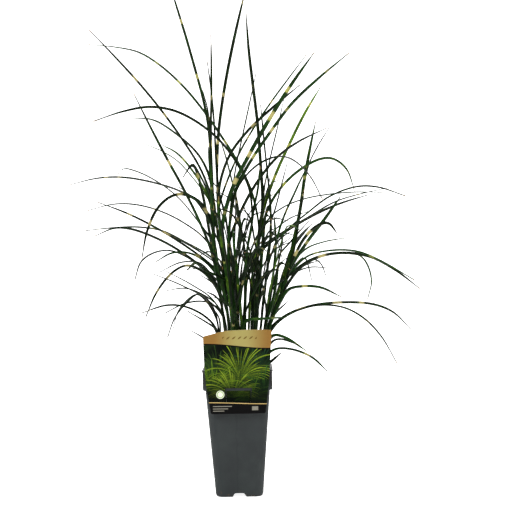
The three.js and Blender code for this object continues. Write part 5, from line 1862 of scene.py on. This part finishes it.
def tag_material():
    material, tree, shader = new_material("printed_tag_face")
    place = add(tree, "ShaderNodeTexCoord").outputs["Object"]
    x, _, z = (times(tree, part, 1 / MM)
               for part in add(tree, "ShaderNodeSeparateXYZ", {0: place}).outputs)
    bed = ramp_between(tree, grain(tree, 40.0)["Value"], 0.35, 0.7)
    colour = blend_colours(tree, bed, TAG_COLOURS["bed_dark"], TAG_COLOURS["bed_light"])
    for layer in PRINT_LAYERS:
        colour = layer(tree, x, z, colour)
    colour = blend_colours(tree, attribute(tree, "printed"), TAG_COLOURS["plain"], colour)
    tree.links.new(colour, shader.inputs["Base Color"])
    fine = grain(tree, 900.0, 0.05)
    tree.links.new(fine["Normal"], shader.inputs["Normal"])
    shader.inputs["Roughness"].default_value = 0.32
    shader.inputs["Specular IOR Level"].default_value = 0.06
    return material


# %% Place the tag
tag = tag_piece()
tag.data.materials.append(tag_material())
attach(tag, "root")
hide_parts("label")
print("triangles of the tag:", triangles(tag.data))

# %% [markdown]
# ## Floor and light
#
# The plant stands on a plain pale floor that curves up into the background, under large soft
# lamps, as in a studio. Floor and room are lit up for the eye, as a lit backdrop is, and give the
# plant itself only a little of that light. The picture keeps plain colours, so that white stays
# white. Sizes are metres.

# %% Floor
FLOOR_FRONT = -3.0
FLOOR_BACK = 1.6
FLOOR_HALF = 4.0
WALL_TOP = 4.0
FLOOR_LIGHT = 0.2
FLOOR_GLOW = 0.9
ROOM_LIGHT = 0.25


def floor_piece():
    mesh = bpy.data.meshes.new("floor")
    bend = [(FLOOR_BACK + math.sin(a), 1 - math.cos(a)) for a in np.radians(np.arange(6, 91, 6))]
    side = [(FLOOR_FRONT, 0.0), (FLOOR_BACK, 0.0), *bend, (FLOOR_BACK + 1, WALL_TOP)]
    points = [(x, y, z) for y, z in side for x in (-FLOOR_HALF, FLOOR_HALF)]
    faces = [(2 * i, 2 * i + 1, 2 * i + 3, 2 * i + 2) for i in range(len(side) - 1)]
    mesh.from_pydata(points, [], faces)
    mesh.shade_smooth()
    material, tree, shader = new_material("pale_floor")
    shader.inputs["Base Color"].default_value = (0.9, 0.9, 0.9, 1)
    shader.inputs["Roughness"].default_value = 0.7
    shader.inputs["Emission Color"].default_value = (1, 1, 1, 1)
    seen = add(tree, "ShaderNodeLightPath").outputs["Is Camera Ray"]
    glow = ramp_between(tree, seen, 0.0, 1.0, FLOOR_LIGHT, FLOOR_GLOW)
    tree.links.new(glow, shader.inputs["Emission Strength"])
    mesh.materials.append(material)
    return object_of(mesh)


floor_piece()

# %% Lights
LIT_POINT = (0, 0, 0.4)
LAMPS = dict(
    key=((-1.6, -2.0, 2.2), 1.2, 76),
    fill=((2.2, -1.4, 1.3), 1.6, 26),
    back=((0.4, 1.3, 2.4), 1.6, 48),
)
for name, (place, size, power) in LAMPS.items():
    lamp = bpy.data.lights.new(name, "AREA")
    lamp.size = size
    lamp.energy = power
    lamp_object = bpy.data.objects.new(name, lamp)
    lamp_object.location = place
    aim = Vector(LIT_POINT) - Vector(place)
    lamp_object.rotation_euler = aim.to_track_quat("-Z", "Y").to_euler()
    bpy.context.scene.collection.objects.link(lamp_object)

world = bpy.data.worlds.new("studio")
bpy.context.scene.world = world
world.use_nodes = True
room = world.node_tree.nodes["Background"]
room.inputs[0].default_value = (1, 1, 1, 1)
seen = add(world.node_tree, "ShaderNodeLightPath").outputs["Is Camera Ray"]
bright = ramp_between(world.node_tree, seen, 0.0, 1.0, ROOM_LIGHT, 1.0)
world.node_tree.links.new(bright, room.inputs[1])
bpy.context.scene.view_settings.view_transform = "Standard"

# %% [markdown]
# ## The end

# %% Finish
bpy.context.view_layer.update()
